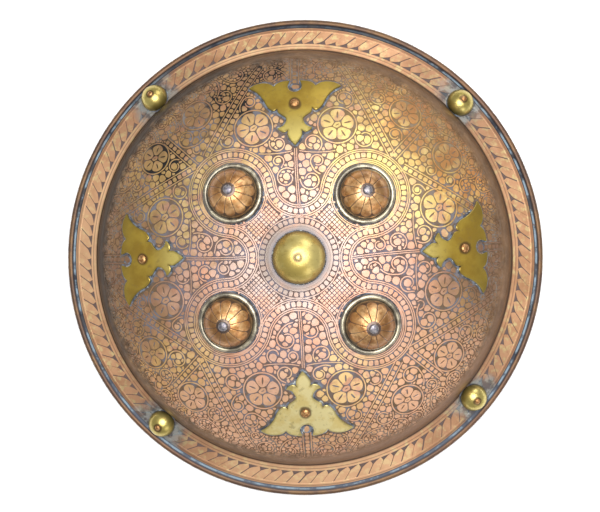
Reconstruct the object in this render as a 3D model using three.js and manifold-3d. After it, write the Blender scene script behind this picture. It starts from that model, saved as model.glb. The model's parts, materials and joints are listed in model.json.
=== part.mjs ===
// A round parrying shield of raised sheet copper, lying on its rolled rim with the dome up.
// The bowl carries a brass centre boss, four copper petal bosses, four brass plates and four brass
// rim knobs. Every fitting is held by its own rivet, peened over inside the bowl.
// Units are millimetres, +Z is up, and the origin is on the floor below the middle of the dome.

import * as THREE from "three";
import { mergeVertices } from "three/addons/utils/BufferGeometryUtils.js";
import Module from "manifold-3d";

const wasm = await Module();
wasm.setup();

// Bowl
const rimRadius = 170;
const flangeWidth = 23;
const domeRadius = rimRadius - flangeWidth;
const domeRise = 65;
const valleyHeight = 9;
const sheetThickness = 1.2;
const valleyFillet = 1.5;
const rollRadius = 2.1;
const rollLandAngle = THREE.MathUtils.degToRad(16);
const grooveWidth = 2.4;
const grooveDepth = 0.8;
const flangeOuterHeight = 3.6;
const bowlSegments = 48;
const bowlRings = 9;

// Clearances
const seatGap = 0.3;
const shankClearance = 0.3;

// Centre boss
const centreBossRadius = 17.9;
const centreBossHeight = 13.5;
const centreBossWall = 1.0;

// Petal bosses
const petalBossRadius = 17.2;
const petalBossHeight = 15.5;
const petalBossWall = 1.0;
const petalCount = 12;
const petalGroove = 0.45;
const petalInnerShare = 0.3;
const petalOuterShare = 0.86;
const footRollRadius = 1.8;
const footRollHeight = 2.6;

// Rim knobs
const knobRadius = 9.7;
const knobHeight = 9.0;
const knobWall = 0.9;
const knobWallLap = 0.5;
const knobSeatRadius = domeRadius + knobRadius - knobWallLap;

// Brass plates
const plateThickness = 1.2;
const plateHalfWidth = 32;
const plateTip = 30.7;
const plateTail = 19;
const keyholeRadius = 4.8;
const keyholeCentre = 14.2;
const keyholeMouth = 3.5;
const outlineTolerance = 0.22;

// Rivets: shank radius, head radius and head height of each kind
const bossRivet = { shank: 1.6, head: 3.3, crown: 1.5 };
const centreRivet = { shank: 1.5, head: 2.3, crown: 1.1 };
const plateRivet = { shank: 1.5, head: 3.0, crown: 1.3 };
const knobRivet = { shank: 1.2, head: 1.9, crown: 0.9 };
const tailSpread = 1.4;
const tailHeight = 1.1;
const rivetSides = 6;

// Where each fitting sits: its bearing round the dome from +X, in degrees, and how far it is out from
// the dome's middle or in from its foot. They were set out by hand, so no two are placed quite alike.
const petalBossSeats = {
  upper_right: { bearing: 44.2, radius: 61.1 },
  upper_left: { bearing: 136.1, radius: 62.2 },
  lower_left: { bearing: 222.4, radius: 64.7 },
  lower_right: { bearing: 316.7, radius: 65.5 },
};
const plateSeats = {
  right: { bearing: 3.3, radius: domeRadius - 35.7, turn: 1.0 },
  top: { bearing: 92.1, radius: domeRadius - 42.3, turn: -0.6 },
  left: { bearing: 180.6, radius: domeRadius - 39.4, turn: 1.4 },
  bottom: { bearing: 271.9, radius: domeRadius - 41.6, turn: 1.2 },
};
const knobBearings = {
  upper_right: 44.6,
  upper_left: 133.1,
  lower_left: 229.5,
  lower_right: 320.6,
};

// Metals
const agedCopper = new THREE.MeshStandardMaterial({ color: 0xb87a5a, roughness: 0.42, metalness: 0.9 });
const warmCopper = new THREE.MeshStandardMaterial({ color: 0xa9713c, roughness: 0.36, metalness: 0.9 });
const brass = new THREE.MeshStandardMaterial({ color: 0xb09a3c, roughness: 0.32, metalness: 0.95 });
const greyRivet = new THREE.MeshStandardMaterial({ color: 0x9c9494, roughness: 0.45, metalness: 0.8 });
const redRivet = new THREE.MeshStandardMaterial({ color: 0xc58054, roughness: 0.4, metalness: 0.9 });

// Closed meshes and solids

function signedVolume(position, index) {
  const [a, b, c] = [new THREE.Vector3(), new THREE.Vector3(), new THREE.Vector3()];
  let total = 0;
  for (let i = 0; i < index.length; i += 3) {
    a.fromBufferAttribute(position, index[i]);
    b.fromBufferAttribute(position, index[i + 1]);
    c.fromBufferAttribute(position, index[i + 2]);
    total += a.dot(b.cross(c)) / 6;
  }
  return total;
}

// Joins shared corners, drops triangles with no area and turns every face outwards.
function welded(geometry) {
  const bare = geometry.clone();
  for (const name of ["normal", "uv"]) bare.deleteAttribute(name);
  const merged = mergeVertices(bare, 1e-4);
  const all = merged.index.array;
  const kept = [];
  for (let i = 0; i < all.length; i += 3) {
    const [a, b, c] = [all[i], all[i + 1], all[i + 2]];
    if (a !== b && b !== c && a !== c) kept.push(a, b, c);
  }
  if (signedVolume(merged.attributes.position, kept) < 0) kept.reverse();
  merged.setIndex(kept);
  return merged;
}

function solid(geometry) {
  const closed = welded(geometry);
  return new wasm.Manifold(new wasm.Mesh({
    numProp: 3,
    vertProperties: new Float32Array(closed.attributes.position.array),
    triVerts: new Uint32Array(closed.index.array),
  }));
}

function geometryOf(manifold) {
  const { vertProperties, triVerts } = manifold.getMesh();
  const geometry = new THREE.BufferGeometry();
  geometry.setAttribute("position", new THREE.BufferAttribute(new Float32Array(vertProperties), 3));
  geometry.setIndex(new THREE.BufferAttribute(new Uint32Array(triVerts), 1));
  return geometry;
}

// A profile of [radius, height] pairs turned round +Z.
function turned(profile, segments) {
  const points = profile.map(([radius, height]) => new THREE.Vector2(radius, height));
  return new THREE.LatheGeometry([...points, points[0]], segments).rotateX(Math.PI / 2);
}

function arc(centre, radius, from, to, steps) {
  return Array.from({ length: steps + 1 }, (_, i) => {
    const angle = from + ((to - from) * i) / steps;
    return [centre[0] + radius * Math.cos(angle), centre[1] + radius * Math.sin(angle)];
  });
}

// The quarter ellipse of a raised dome, from its top down to its edge.
function domeArc(radius, rise, base, steps, startRadius = 0) {
  const start = Math.asin(startRadius / radius);
  return Array.from({ length: steps + 1 }, (_, i) => {
    const angle = start + ((Math.PI / 2 - start) * i) / steps;
    return [radius * Math.sin(angle), base + rise * Math.cos(angle)];
  });
}

// Bowl

const rollCentre = [rimRadius - rollRadius, rollRadius * Math.cos(rollLandAngle)];
const grooveOuter = rollCentre[0] - rollRadius * Math.cos(Math.PI / 4);
const grooveInner = grooveOuter - grooveWidth;
const flangeInner = domeRadius + valleyFillet;
const flangeSlope = Math.atan((valleyHeight - flangeOuterHeight) / (grooveInner - flangeInner));

function flangeHeight(radius) {
  return valleyHeight - (radius - flangeInner) * Math.tan(flangeSlope);
}

// The outside of the sheet from the top of the dome to the groove inside the rolled rim, stood off by a gap.
function outside(gap) {
  const dome = domeArc(domeRadius + gap, domeRise + gap, valleyHeight, bowlRings);
  const filletCentre = [domeRadius + valleyFillet, valleyHeight + valleyFillet];
  const fillet = arc(filletCentre, valleyFillet - gap, Math.PI, 1.5 * Math.PI - flangeSlope, 1);
  const aboveValley = dome.filter(([, height]) => height > filletCentre[1]);
  return [...aboveValley, ...fillet, [grooveInner, flangeHeight(grooveInner) + gap]];
}

// The same line inside the sheet, from the underside of the flange up to the top of the hollow.
function inside() {
  const hollowRadius = domeRadius - sheetThickness;
  const flangeUnder = flangeHeight(grooveInner) - sheetThickness;
  const dome = domeArc(hollowRadius, domeRise - sheetThickness, valleyHeight, bowlRings);
  const filletRadius = valleyFillet + sheetThickness;
  const filletCentre = [hollowRadius + filletRadius, valleyHeight - sheetThickness + filletRadius];
  const fillet = arc(filletCentre, filletRadius, Math.PI, 1.5 * Math.PI - flangeSlope, 1);
  const aboveValley = dome.filter(([, height]) => height > filletCentre[1]);
  return [...aboveValley, ...fillet, [grooveInner, flangeUnder]].reverse();
}

const bowlBlank = (() => {
  const groove = [(grooveInner + grooveOuter) / 2, flangeHeight(grooveOuter) - grooveDepth];
  const roll = [
    ...arc(rollCentre, rollRadius, 0.75 * Math.PI, 0, 3),
    ...arc(rollCentre, rollRadius, -Math.PI / 2 + rollLandAngle, -Math.PI / 2 - rollLandAngle, 1),
    [rollCentre[0] - rollRadius, rollCentre[1]],
  ];
  return welded(turned([...outside(0), groove, ...roll, ...inside()], bowlSegments));
})();

// Everything below the outside of the bowl, stood off by a gap: it cuts each fitting's foot to shape.
function bowlEnvelope(gap) {
  const skirt = [[rimRadius + gap, flangeOuterHeight + gap], [rimRadius + gap, -rimRadius / 4], [0, -rimRadius / 4]];
  return solid(turned([...outside(gap), ...skirt], bowlSegments));
}

// Frames: +Z of a seat stands square to the outside of the bowl, and +X points out from the middle.

function seatFrame(bearing, radius, height, slope) {
  const turn = new THREE.Matrix4().makeRotationZ(THREE.MathUtils.degToRad(bearing));
  const shift = new THREE.Matrix4().makeTranslation(radius, 0, height);
  const lean = new THREE.Matrix4().makeRotationY(slope);
  return turn.multiply(shift).multiply(lean);
}

function domeSeat({ bearing, radius }) {
  const share = radius / domeRadius;
  const rootShare = Math.sqrt(1 - share * share);
  const slope = Math.atan((domeRise / domeRadius) * (share / rootShare));
  return seatFrame(bearing, radius, valleyHeight + domeRise * rootShare, slope);
}

function flangeSeat(bearing) {
  return seatFrame(bearing, knobSeatRadius, flangeHeight(knobSeatRadius), flangeSlope);
}

function placedGroup(frame, meshes) {
  const group = new THREE.Group();
  frame.decompose(group.position, group.quaternion, group.scale);
  group.add(...meshes);
  return group;
}

function piece(name, geometry, material) {
  const mesh = new THREE.Mesh(welded(geometry), material);
  mesh.name = name;
  return mesh;
}

// A shape given in a seat's own frame, with whatever lies within the seat gap of the bowl cut away.
function fittedToBowl(geometry, frame) {
  const cut = solid(geometry.clone().applyMatrix4(frame)).subtract(bowlEnvelope(seatGap));
  return geometryOf(cut).applyMatrix4(frame.clone().invert());
}

// The heights in a seat's frame at which its axis enters and leaves the sheet of the bowl.
function sheetFaces(frame) {
  const sheet = new THREE.Mesh(bowlBlank, new THREE.MeshBasicMaterial({ side: THREE.DoubleSide }));
  const above = sheetThickness * 4;
  const start = new THREE.Vector3(0, 0, above).applyMatrix4(frame);
  const down = new THREE.Vector3(0, 0, -1).transformDirection(frame);
  const depths = new THREE.Raycaster(start, down).intersectObject(sheet).map((hit) => hit.distance);
  const underside = depths.find((depth) => depth > depths[0] + sheetThickness / 2);
  return { outer: above - depths[0], inner: above - underside };
}

// Rivets

// The rivet stands on its seat's axis, with its head at headHeight and its tail peened inside the hollow.
function rivet({ shank, head, crown }, headHeight, frame) {
  const tailTop = sheetFaces(frame).inner - seatGap;
  const tailRadius = shank * tailSpread;
  return turned([
    [0, headHeight + crown],
    [head * 0.7, headHeight + crown * 0.75],
    [head, headHeight],
    [shank, headHeight],
    [shank, tailTop],
    [tailRadius, tailTop],
    [tailRadius, tailTop - tailHeight],
    [0, tailTop - tailHeight],
  ], rivetSides);
}

function shankHole(frame, shank) {
  const reach = 12 * sheetThickness;
  const tool = new THREE.CylinderGeometry(shank + shankClearance, shank + shankClearance, reach, rivetSides);
  return solid(tool.rotateX(Math.PI / 2).applyMatrix4(frame));
}

// Bosses and knobs

// How high the outside of the dome, stood off by the seat gap, lies at a point of a seat's own plane.
function domeUnder(frame, x, y) {
  const across = 1 / (domeRadius + seatGap);
  const toUnitSphere = new THREE.Vector3(across, across, 1 / (domeRise + seatGap));
  const start = new THREE.Vector3(x, y, 0).applyMatrix4(frame);
  start.z -= valleyHeight;
  start.multiply(toUnitSphere);
  const along = new THREE.Vector3(0, 0, 1).transformDirection(frame).multiply(toUnitSphere);
  const half = start.dot(along);
  const root = Math.sqrt(half * half - along.lengthSq() * (start.lengthSq() - 1));
  return (root - half) / along.lengthSq();
}

// Lets the foot of a fitting, which is whatever lies below its seat, down on to the dome.
function seatedOnDome(geometry, frame) {
  const position = geometry.attributes.position;
  for (let i = 0; i < position.count; i++) {
    const [x, y, z] = [position.getX(i), position.getY(i), position.getZ(i)];
    if (z < -seatGap) position.setZ(i, domeUnder(frame, x, y));
  }
  return geometry;
}

// A hollow dome with a hole for its rivet. Its wall runs down below the seat, to be fitted to the bowl.
function hollowDome({ radius, height, wall, hole, segments, steps }) {
  const outer = domeArc(radius, height, 0, steps, hole);
  const inner = domeArc(radius - wall, height - wall, 0, 2, hole).reverse();
  return turned([...outer, [radius, -wall], [radius - wall, -wall], ...inner], segments);
}

function centreBoss(frame) {
  return seatedOnDome(hollowDome({
    radius: centreBossRadius,
    height: centreBossHeight,
    wall: centreBossWall,
    hole: centreRivet.shank + shankClearance,
    segments: 20,
    steps: 5,
  }), frame);
}

function rimKnob(frame) {
  return fittedToBowl(hollowDome({
    radius: knobRadius,
    height: knobHeight,
    wall: knobWall,
    hole: knobRivet.shank + shankClearance,
    segments: 14,
    steps: 3,
  }), frame);
}

// The petal boss is one raised piece: a dome over a rolled foot, with a groove between each two petals.
function petalBoss(frame) {
  const hole = bossRivet.shank + shankClearance;
  const footCentre = [petalBossRadius + footRollRadius, footRollHeight - footRollRadius];
  const innerRadius = petalBossRadius - petalBossWall;
  const outerDome = domeArc(petalBossRadius, petalBossHeight - footCentre[1], footCentre[1], 4, hole);
  const innerDome = domeArc(innerRadius, petalBossHeight - petalBossWall, 0, 2, hole).reverse();
  const geometry = turned([
    ...outerDome,
    ...arc(footCentre, footRollRadius, 0.7 * Math.PI, 0, 2),
    [footCentre[0] + footRollRadius, -footRollRadius],
    [innerRadius, -footRollRadius],
    ...innerDome,
  ], 2 * petalCount);
  const position = geometry.attributes.position;
  for (let i = 0; i < position.count; i++) {
    const [x, y, z] = [position.getX(i), position.getY(i), position.getZ(i)];
    const share = Math.hypot(x, y) / petalBossRadius;
    const onGroove = Math.abs(Math.round((Math.atan2(y, x) * petalCount) / Math.PI)) % 2 === 1;
    const onPetals = share > petalInnerShare && share < petalOuterShare;
    const outerFace = z > petalBossHeight * Math.sqrt(Math.max(0, 1 - share * share)) - petalBossWall / 2;
    if (onGroove && onPetals && outerFace) position.setZ(i, z - petalGroove);
  }
  return seatedOnDome(geometry, frame);
}

// Brass plates

// Half of a plate's outline, from the tip that points to the dome's middle to the mouth of the keyhole.
// The first number of each point runs across the plate and the second outwards, as shares of the plate.
function plateOutline() {
  const across = plateHalfWidth;
  const inward = plateTip;
  const outward = plateTail;
  const curves = [
    [[0.09, -0.905], [0.153, -0.775]],
    [[0.169, -0.69], [0.1375, -0.638]],
    [[0.203, -0.723], [0.281, -0.677]],
    [[0.344, -0.645], [0.375, -0.586]],
    [[0.269, -0.58], [0.219, -0.495]],
    [[0.156, -0.407], [0.194, -0.345]],
    [[0.25, -0.28], [0.344, -0.228]],
    [[0.378, -0.18], [0.372, -0.104]],
    [[0.41, -0.17], [0.469, -0.163]],
    [[0.594, -0.098], [0.656, 0.158]],
    [[0.781, 0.58], [1, 0.76]],
    [[0.85, 0.99], [0.656, 0.947]],
    [[0.5, 0.905], [0.45, 0.747]],
    [[0.4125, 0.905], [0.297, 0.958]],
    [[0.2, 1], [keyholeMouth / across, 1]],
  ];
  const at = ([x, y]) => [x * across, y * (y < 0 ? inward : outward)];
  const mouthAngle = Math.acos(keyholeMouth / keyholeRadius);
  const half = new THREE.Path();
  half.moveTo(0, -inward);
  for (const [control, end] of curves) half.quadraticCurveTo(...at(control), ...at(end));
  half.absarc(0, keyholeCentre, keyholeRadius, mouthAngle, -Math.PI / 2, true);
  const right = half.getPoints(4).map(({ x, y }) => [x, y]);
  const left = right.slice(1, -1).map(([x, y]) => [-x, y]).reverse();
  return new wasm.CrossSection([...right, ...left]).simplify(outlineTolerance);
}

// The plate is the part of a shell just above the bowl that lies under the outline.
function plate(frame, turn) {
  const prism = plateOutline().rotate(turn - 90).extrude(domeRise, 0, 0, [1, 1], true);
  const hole = shankHole(frame, plateRivet.shank);
  const shell = bowlEnvelope(seatGap + plateThickness).subtract(bowlEnvelope(seatGap));
  const cut = prism.transform(frame.elements).intersect(shell).subtract(hole);
  return geometryOf(cut).applyMatrix4(frame.clone().invert());
}

// Assembly

const shield = new THREE.Group();
const holes = [];

function addFitting(frame, rivetKind, rivetName, rivetMetal, headHeight, mesh) {
  holes.push(shankHole(frame, rivetKind.shank));
  const pin = piece(rivetName, rivet(rivetKind, headHeight, frame), rivetMetal);
  shield.add(placedGroup(frame, [mesh, pin]));
}

const middle = domeSeat({ bearing: 0, radius: 0 });
addFitting(
  middle, centreRivet, "centre_boss_rivet", redRivet, centreBossHeight + seatGap,
  piece("centre_boss", centreBoss(middle), brass),
);

for (const [place, seat] of Object.entries(petalBossSeats)) {
  const frame = domeSeat(seat);
  addFitting(
    frame, bossRivet, `petal_boss_rivet_${place}`, greyRivet, petalBossHeight + seatGap,
    piece(`petal_boss_${place}`, petalBoss(frame), warmCopper),
  );
}

for (const [place, seat] of Object.entries(plateSeats)) {
  const frame = domeSeat(seat);
  addFitting(
    frame, plateRivet, `plate_rivet_${place}`, redRivet, sheetFaces(frame).outer + plateThickness + 2 * seatGap,
    piece(`plate_${place}`, plate(frame, seat.turn), brass),
  );
}

for (const [place, bearing] of Object.entries(knobBearings)) {
  const frame = flangeSeat(bearing);
  addFitting(
    frame, knobRivet, `rim_knob_rivet_${place}`, redRivet, knobHeight + seatGap,
    piece(`rim_knob_${place}`, rimKnob(frame), brass),
  );
}

const pierced = holes.reduce((body, hole) => body.subtract(hole), solid(bowlBlank));
shield.add(piece("bowl", geometryOf(pierced), agedCopper));

export default shield;
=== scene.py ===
# %% [markdown]
# # A chased copper buckler
#
# This lesson dresses a round parrying shield. The real one was raised from a single sheet of
# copper: a low dome, a sloping flange and a rim rolled over for stiffness. A chaser then sank the
# ground between hundreds of little leaves, berries and bands, so that the ornament stands level
# with the old surface and the ground lies dark below it. Brass plates, bosses and knobs are
# riveted on. The frame gives every piece its true size and place, and this script makes the
# surfaces that are seen.

# %% Load the frame
import json
import math
import random

import bpy
import numpy as np
from mathutils import Matrix, Vector

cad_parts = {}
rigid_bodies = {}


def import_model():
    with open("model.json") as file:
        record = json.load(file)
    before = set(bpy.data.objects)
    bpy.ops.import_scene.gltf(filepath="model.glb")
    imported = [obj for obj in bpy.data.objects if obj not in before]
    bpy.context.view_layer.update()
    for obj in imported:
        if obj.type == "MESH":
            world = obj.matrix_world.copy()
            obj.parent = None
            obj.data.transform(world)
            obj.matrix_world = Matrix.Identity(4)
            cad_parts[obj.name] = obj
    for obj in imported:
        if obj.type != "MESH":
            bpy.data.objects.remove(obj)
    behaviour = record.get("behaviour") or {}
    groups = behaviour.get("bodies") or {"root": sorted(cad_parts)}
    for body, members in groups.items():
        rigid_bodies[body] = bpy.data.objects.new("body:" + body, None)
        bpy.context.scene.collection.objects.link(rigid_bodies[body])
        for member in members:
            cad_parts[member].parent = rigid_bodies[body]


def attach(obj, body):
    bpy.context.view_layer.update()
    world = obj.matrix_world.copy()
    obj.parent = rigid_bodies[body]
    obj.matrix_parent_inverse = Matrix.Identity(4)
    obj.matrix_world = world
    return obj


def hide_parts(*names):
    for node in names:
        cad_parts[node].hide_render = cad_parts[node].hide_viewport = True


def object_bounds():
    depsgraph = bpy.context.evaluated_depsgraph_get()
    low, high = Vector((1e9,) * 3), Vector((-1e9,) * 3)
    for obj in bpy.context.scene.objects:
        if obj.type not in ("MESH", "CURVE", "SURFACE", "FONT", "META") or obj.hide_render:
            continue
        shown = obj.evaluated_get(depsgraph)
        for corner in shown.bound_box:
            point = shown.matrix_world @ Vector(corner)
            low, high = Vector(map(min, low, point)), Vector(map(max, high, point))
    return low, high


for leftover in list(bpy.data.objects):
    bpy.data.objects.remove(leftover)
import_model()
cad_low, cad_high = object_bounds()
MM = 0.001
print("frame box in mm:", [round(v / MM, 1) for v in (*cad_low, *cad_high)])

# %% [markdown]
# ## The line of the sheet
#
# One line describes the outside of the bowl from the middle of the dome to the groove inside the
# rim. It is a quarter ellipse, a small hollow fillet and a straight flange. Everything chased into
# the copper follows this line, so it is worked out once, with the distance travelled along it and
# the direction square to it.

# %% The bowl's sizes, in millimetres
rim_radius = cad_high.x / MM
flange_width = 23.0
dome_radius = rim_radius - flange_width
dome_rise = 65.0
valley_height = 9.0
sheet_thickness = 1.2
valley_fillet = 1.5
roll_radius = 2.1
roll_land = math.radians(16)
groove_width = 2.4
groove_depth = 0.8
flange_outer_height = 3.6

roll_centre = (rim_radius - roll_radius, roll_radius * math.cos(roll_land))
groove_outer = roll_centre[0] - roll_radius * math.cos(math.pi / 4)
groove_inner = groove_outer - groove_width
flange_inner = dome_radius + valley_fillet
flange_slope = math.atan((valley_height - flange_outer_height) / (groove_inner - flange_inner))


# %% The line itself
def arc_points(centre, radius, start, end, steps):
    angle = np.linspace(start, end, steps + 1)
    return np.column_stack([centre[0] + radius * np.cos(angle), centre[1] + radius
                            * np.sin(angle)])


def sheet_line(inset, dome_steps, flange_steps):
    """Points (radius, height) from the dome's middle to the groove, inset below the outside."""
    turn = np.linspace(0, math.pi / 2, dome_steps + 1)
    dome = np.column_stack([(dome_radius - inset) * np.sin(turn),
                            valley_height + (dome_rise - inset) * np.cos(turn)])
    fillet_radius = valley_fillet + inset
    centre = (dome_radius - inset + fillet_radius, valley_height - inset + fillet_radius)
    fillet = arc_points(centre, fillet_radius, math.pi, 1.5 * math.pi - flange_slope, 5)
    dome = dome[dome[:, 1] > centre[1]]
    far = np.linspace(fillet[-1, 0], groove_inner, flange_steps + 1)[1:]
    flange = np.column_stack([far, fillet[-1, 1] - (far - fillet[-1, 0]) * math.tan(flange_slope)])
    return np.vstack([dome, fillet, flange])


outside = sheet_line(0, 600, 60)
steps_along = np.diff(outside, axis=0)
travel = np.concatenate([[0], np.cumsum(np.hypot(*steps_along.T))])
slope = np.gradient(outside, travel, axis=0)
slope /= np.hypot(*slope.T)[:, None]
dome_travel = float(np.interp(dome_radius, outside[:, 0], travel))
print("distance over the dome to its foot:", round(dome_travel, 1), "mm")


def travel_at(radius):
    return float(np.interp(radius, outside[:, 0], travel))


def on_sheet(x, y, lift):
    """Takes points of the flat pattern on to the bowl. Lengths along the sheet stay true."""
    far = np.hypot(x, y)
    bearing = np.arctan2(y, x)
    radius = np.interp(far, travel, outside[:, 0]) - lift * np.interp(far, travel, slope[:, 1])
    height = np.interp(far, travel, outside[:, 1]) + lift * np.interp(far, travel, slope[:, 0])
    return np.column_stack([radius * np.cos(bearing), radius * np.sin(bearing), height]) * MM


# %% [markdown]
# ## Small helpers
#
# Meshes are shaped with Blender's own operators. An operator works on everything that is
# selected, so each new shape starts from an empty selection. Pattern work is stamped: one little
# form is modelled once, and its points are copied to every place in the pattern at once.

# %% Helpers for making pieces
def deselect():
    bpy.ops.object.select_all(action="DESELECT")


def activate(piece):
    deselect()
    piece.select_set(True)
    bpy.context.view_layer.objects.active = piece


def mesh_piece(name, points, faces):
    mesh = bpy.data.meshes.new(name)
    mesh.from_pydata([tuple(p) for p in points], [], [tuple(f) for f in faces])
    mesh.update()
    piece = bpy.data.objects.new(name, mesh)
    bpy.context.collection.objects.link(piece)
    return piece


def spun(name, line, steps):
    """Turns a line of (radius, height) points, in metres, round +Z and closes it."""
    mesh = bpy.data.meshes.new(name)
    edges = [(i, i + 1) for i in range(len(line) - 1)]
    mesh.from_pydata([(r, 0, z) for r, z in line], edges, [])
    piece = bpy.data.objects.new(name, mesh)
    bpy.context.collection.objects.link(piece)
    activate(piece)
    bpy.ops.object.mode_set(mode="EDIT")
    bpy.ops.mesh.select_all(action="SELECT")
    bpy.ops.mesh.spin(steps=steps, angle=2 * math.pi, center=(0, 0, 0), axis=(0, 0, 1))
    bpy.ops.mesh.select_all(action="SELECT")
    bpy.ops.mesh.remove_doubles(threshold=2e-6)
    bpy.ops.mesh.normals_make_consistent(inside=False)
    bpy.ops.object.mode_set(mode="OBJECT")
    return piece


def turn_outward(piece):
    """Makes all faces of a closed piece face outwards."""
    activate(piece)
    bpy.ops.object.mode_set(mode="EDIT")
    bpy.ops.mesh.select_all(action="SELECT")
    bpy.ops.mesh.normals_make_consistent(inside=False)
    bpy.ops.object.mode_set(mode="OBJECT")


def smooth(piece, degrees):
    activate(piece)
    bpy.ops.object.shade_smooth_by_angle(angle=math.radians(degrees))


def coordinates(piece):
    flat = np.empty(len(piece.data.vertices) * 3)
    piece.data.vertices.foreach_get("co", flat)
    return flat.reshape(-1, 3)


def set_coordinates(piece, points):
    piece.data.vertices.foreach_set("co", points.astype(np.float32).ravel())
    piece.data.update()


def mark(piece, name, values):
    """Keeps one number per point on the mesh, for a material to read."""
    layer = piece.data.attributes.new(name, "FLOAT", "POINT")
    layer.data.foreach_set("value", np.asarray(values, dtype=np.float32))


def hand_over(piece, slot, *nodes):
    """Puts a finished piece on the frame, in place of the solids that it stands for."""
    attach(piece, "root")
    if nodes:
        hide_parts(*nodes)
    piece.data.calc_loop_triangles()
    print(f"{piece.name}: {len(piece.data.loop_triangles)} triangles")


# %% [markdown]
# ## Where the fittings sit
#
# Each boss, plate and knob stands square to the sheet. Its seat is given by its bearing round the
# dome and its distance from the middle, as in the frame. From these come the seat's own axes, with
# +Z square to the sheet and +X pointing outwards, and its place on the flat sheet for the pattern.

# %% Places of the fittings
corners = ("upper_right", "upper_left", "lower_left", "lower_right")
sides = ("right", "top", "left", "bottom")
seat_gap = 0.3
knob_radius = 9.7
knob_seat_radius = dome_radius + knob_radius - 0.5
boss_places = {"upper_right": (44.2, 61.1), "upper_left": (136.1, 62.2),
               "lower_left": (222.4, 64.7), "lower_right": (316.7, 65.5)}
plate_places = {"right": (3.3, dome_radius - 35.7), "top": (92.1, dome_radius - 42.3),
                "left": (180.6, dome_radius - 39.4), "bottom": (271.9, dome_radius - 41.6)}
plate_turns = {"right": 1.0, "top": -0.6, "left": 1.4, "bottom": 1.2}
knob_bearings = {"upper_right": 44.6, "upper_left": 133.1, "lower_left": 229.5,
                 "lower_right": 320.6}


def seat_at(bearing, radius):
    """A seat's matrix in millimetres, and its place on the flat sheet."""
    bearing = math.radians(bearing)
    if radius < dome_radius:
        share = radius / dome_radius
        root = math.sqrt(1 - share * share)
        height = valley_height + dome_rise * root
        lean = math.atan(dome_rise / dome_radius * share / root)
    else:
        height = valley_height - (radius - flange_inner) * math.tan(flange_slope)
        lean = flange_slope
    matrix = (Matrix.Rotation(bearing, 4, "Z") @ Matrix.Translation((radius, 0, height))
              @ Matrix.Rotation(lean, 4, "Y"))
    flat = travel_at(radius) * np.array([math.cos(bearing), math.sin(bearing)])
    return {"matrix": np.array(matrix), "bearing": bearing, "flat": flat}


centre_seat = seat_at(0, 0)
boss_seats = {name: seat_at(*place) for name, place in boss_places.items()}
plate_seats = {name: seat_at(*place) for name, place in plate_places.items()}
knob_seats = {name: seat_at(bearing, knob_seat_radius) for name, bearing in knob_bearings.items()}
for name, seat in {**boss_seats, **plate_seats}.items():
    print(name, "on the flat sheet:", seat["flat"].round(1))


def seated(points, seat):
    """Points given in a seat's axes, in millimetres, as points of the frame, in metres."""
    matrix = seat["matrix"]
    return (np.asarray(points) @ matrix[:3, :3].T + matrix[:3, 3]) * MM


def dome_under(seat, x, y, lift):
    """How high the dome, stood off by a lift, lies at points of a seat's own plane."""
    scale = np.array([1 / (dome_radius + lift), 1 / (dome_radius + lift), 1 / (dome_rise + lift)])
    matrix = seat["matrix"]
    start = np.column_stack([x, y, np.zeros(len(x))]) @ matrix[:3, :3].T + matrix[:3, 3]
    start = (start - [0, 0, valley_height]) * scale
    along = matrix[:3, 2] * scale
    half = start @ along
    root = np.sqrt(half**2 - (along @ along) * ((start**2).sum(1) - 1))
    return (root - half) / (along @ along)


def flat_of(points):
    """Where points of the frame, in metres, lie on the flat sheet, in millimetres."""
    x, y = points[:, 0] / MM, points[:, 1] / MM
    far = np.interp(np.hypot(x, y), outside[:, 0], travel)
    bearing = np.arctan2(y, x)
    return np.column_stack([far * np.cos(bearing), far * np.sin(bearing)])


# %% [markdown]
# ## Drawing the pattern
#
# A chaser draws the design on the sheet before striking it. The same is done here, flat and in
# millimetres, and only then is it laid on the dome. Three kinds of mark make up the whole design:
# thin raised lines, little pads such as berries, squares, petals and leaves, and the sunk ground
# left between them. To fill a field the way a chaser does, the script keeps a map of how much
# room is left at every spot, and each berry takes the spot that it just fits.

# %% The map of room left on the sheet
chased_edge = dome_travel - 20.0
ground_depth = 0.36
cell = 0.3
half_map = 156.0
axis_values = np.arange(-half_map, half_map + cell, cell)
map_x, map_y = np.meshgrid(axis_values, axis_values)
map_far = np.hypot(map_x, map_y)
room = np.minimum(12.0, chased_edge - map_far).astype(np.float32)
room = np.minimum(room, map_far - 28.6)


def take(where, x, y, radius, reach=5.0):
    """Marks a disc as taken on a map of room."""
    size = radius + reach
    i0, i1 = (int((v - size + half_map) / cell) for v in (x, y))
    i0, i1 = max(i0, 0), max(i1, 0)
    j0, j1 = (int((v + size + half_map) / cell) + 2 for v in (x, y))
    window = (slice(i1, j1), slice(i0, j0))
    away = np.hypot(map_x[window] - x, map_y[window] - y) - radius
    np.minimum(where[window], away, out=where[window])


def room_at(where, x, y):
    return where[int(round((y + half_map) / cell)), int(round((x + half_map) / cell))]


# %% Lines, pads and rows
ridges = []
rays = 12
pads = {"berry": [], "stud": [], "petal": []}


def evenly(points, spacing, closed=False):
    """The same line with points at an even spacing."""
    points = np.asarray(points, float)
    if closed:
        points = np.vstack([points, points[:1]])
    along = np.concatenate([[0], np.cumsum(np.hypot(*np.diff(points, axis=0).T))])
    count = max(2, int(round(along[-1] / spacing)) + 1)
    wanted = np.linspace(0, along[-1], count)
    even = np.column_stack([np.interp(wanted, along, points[:, k]) for k in (0, 1)])
    return even[:-1] if closed else even


def aside(points, distance, closed=False):
    """The same line moved sideways, to its left."""
    points = np.asarray(points, float)
    if closed:
        step = np.roll(points, -1, axis=0) - np.roll(points, 1, axis=0)
    else:
        step = np.gradient(points, axis=0)
    step /= np.hypot(*step.T)[:, None]
    return points + distance * np.column_stack([-step[:, 1], step[:, 0]])


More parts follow.
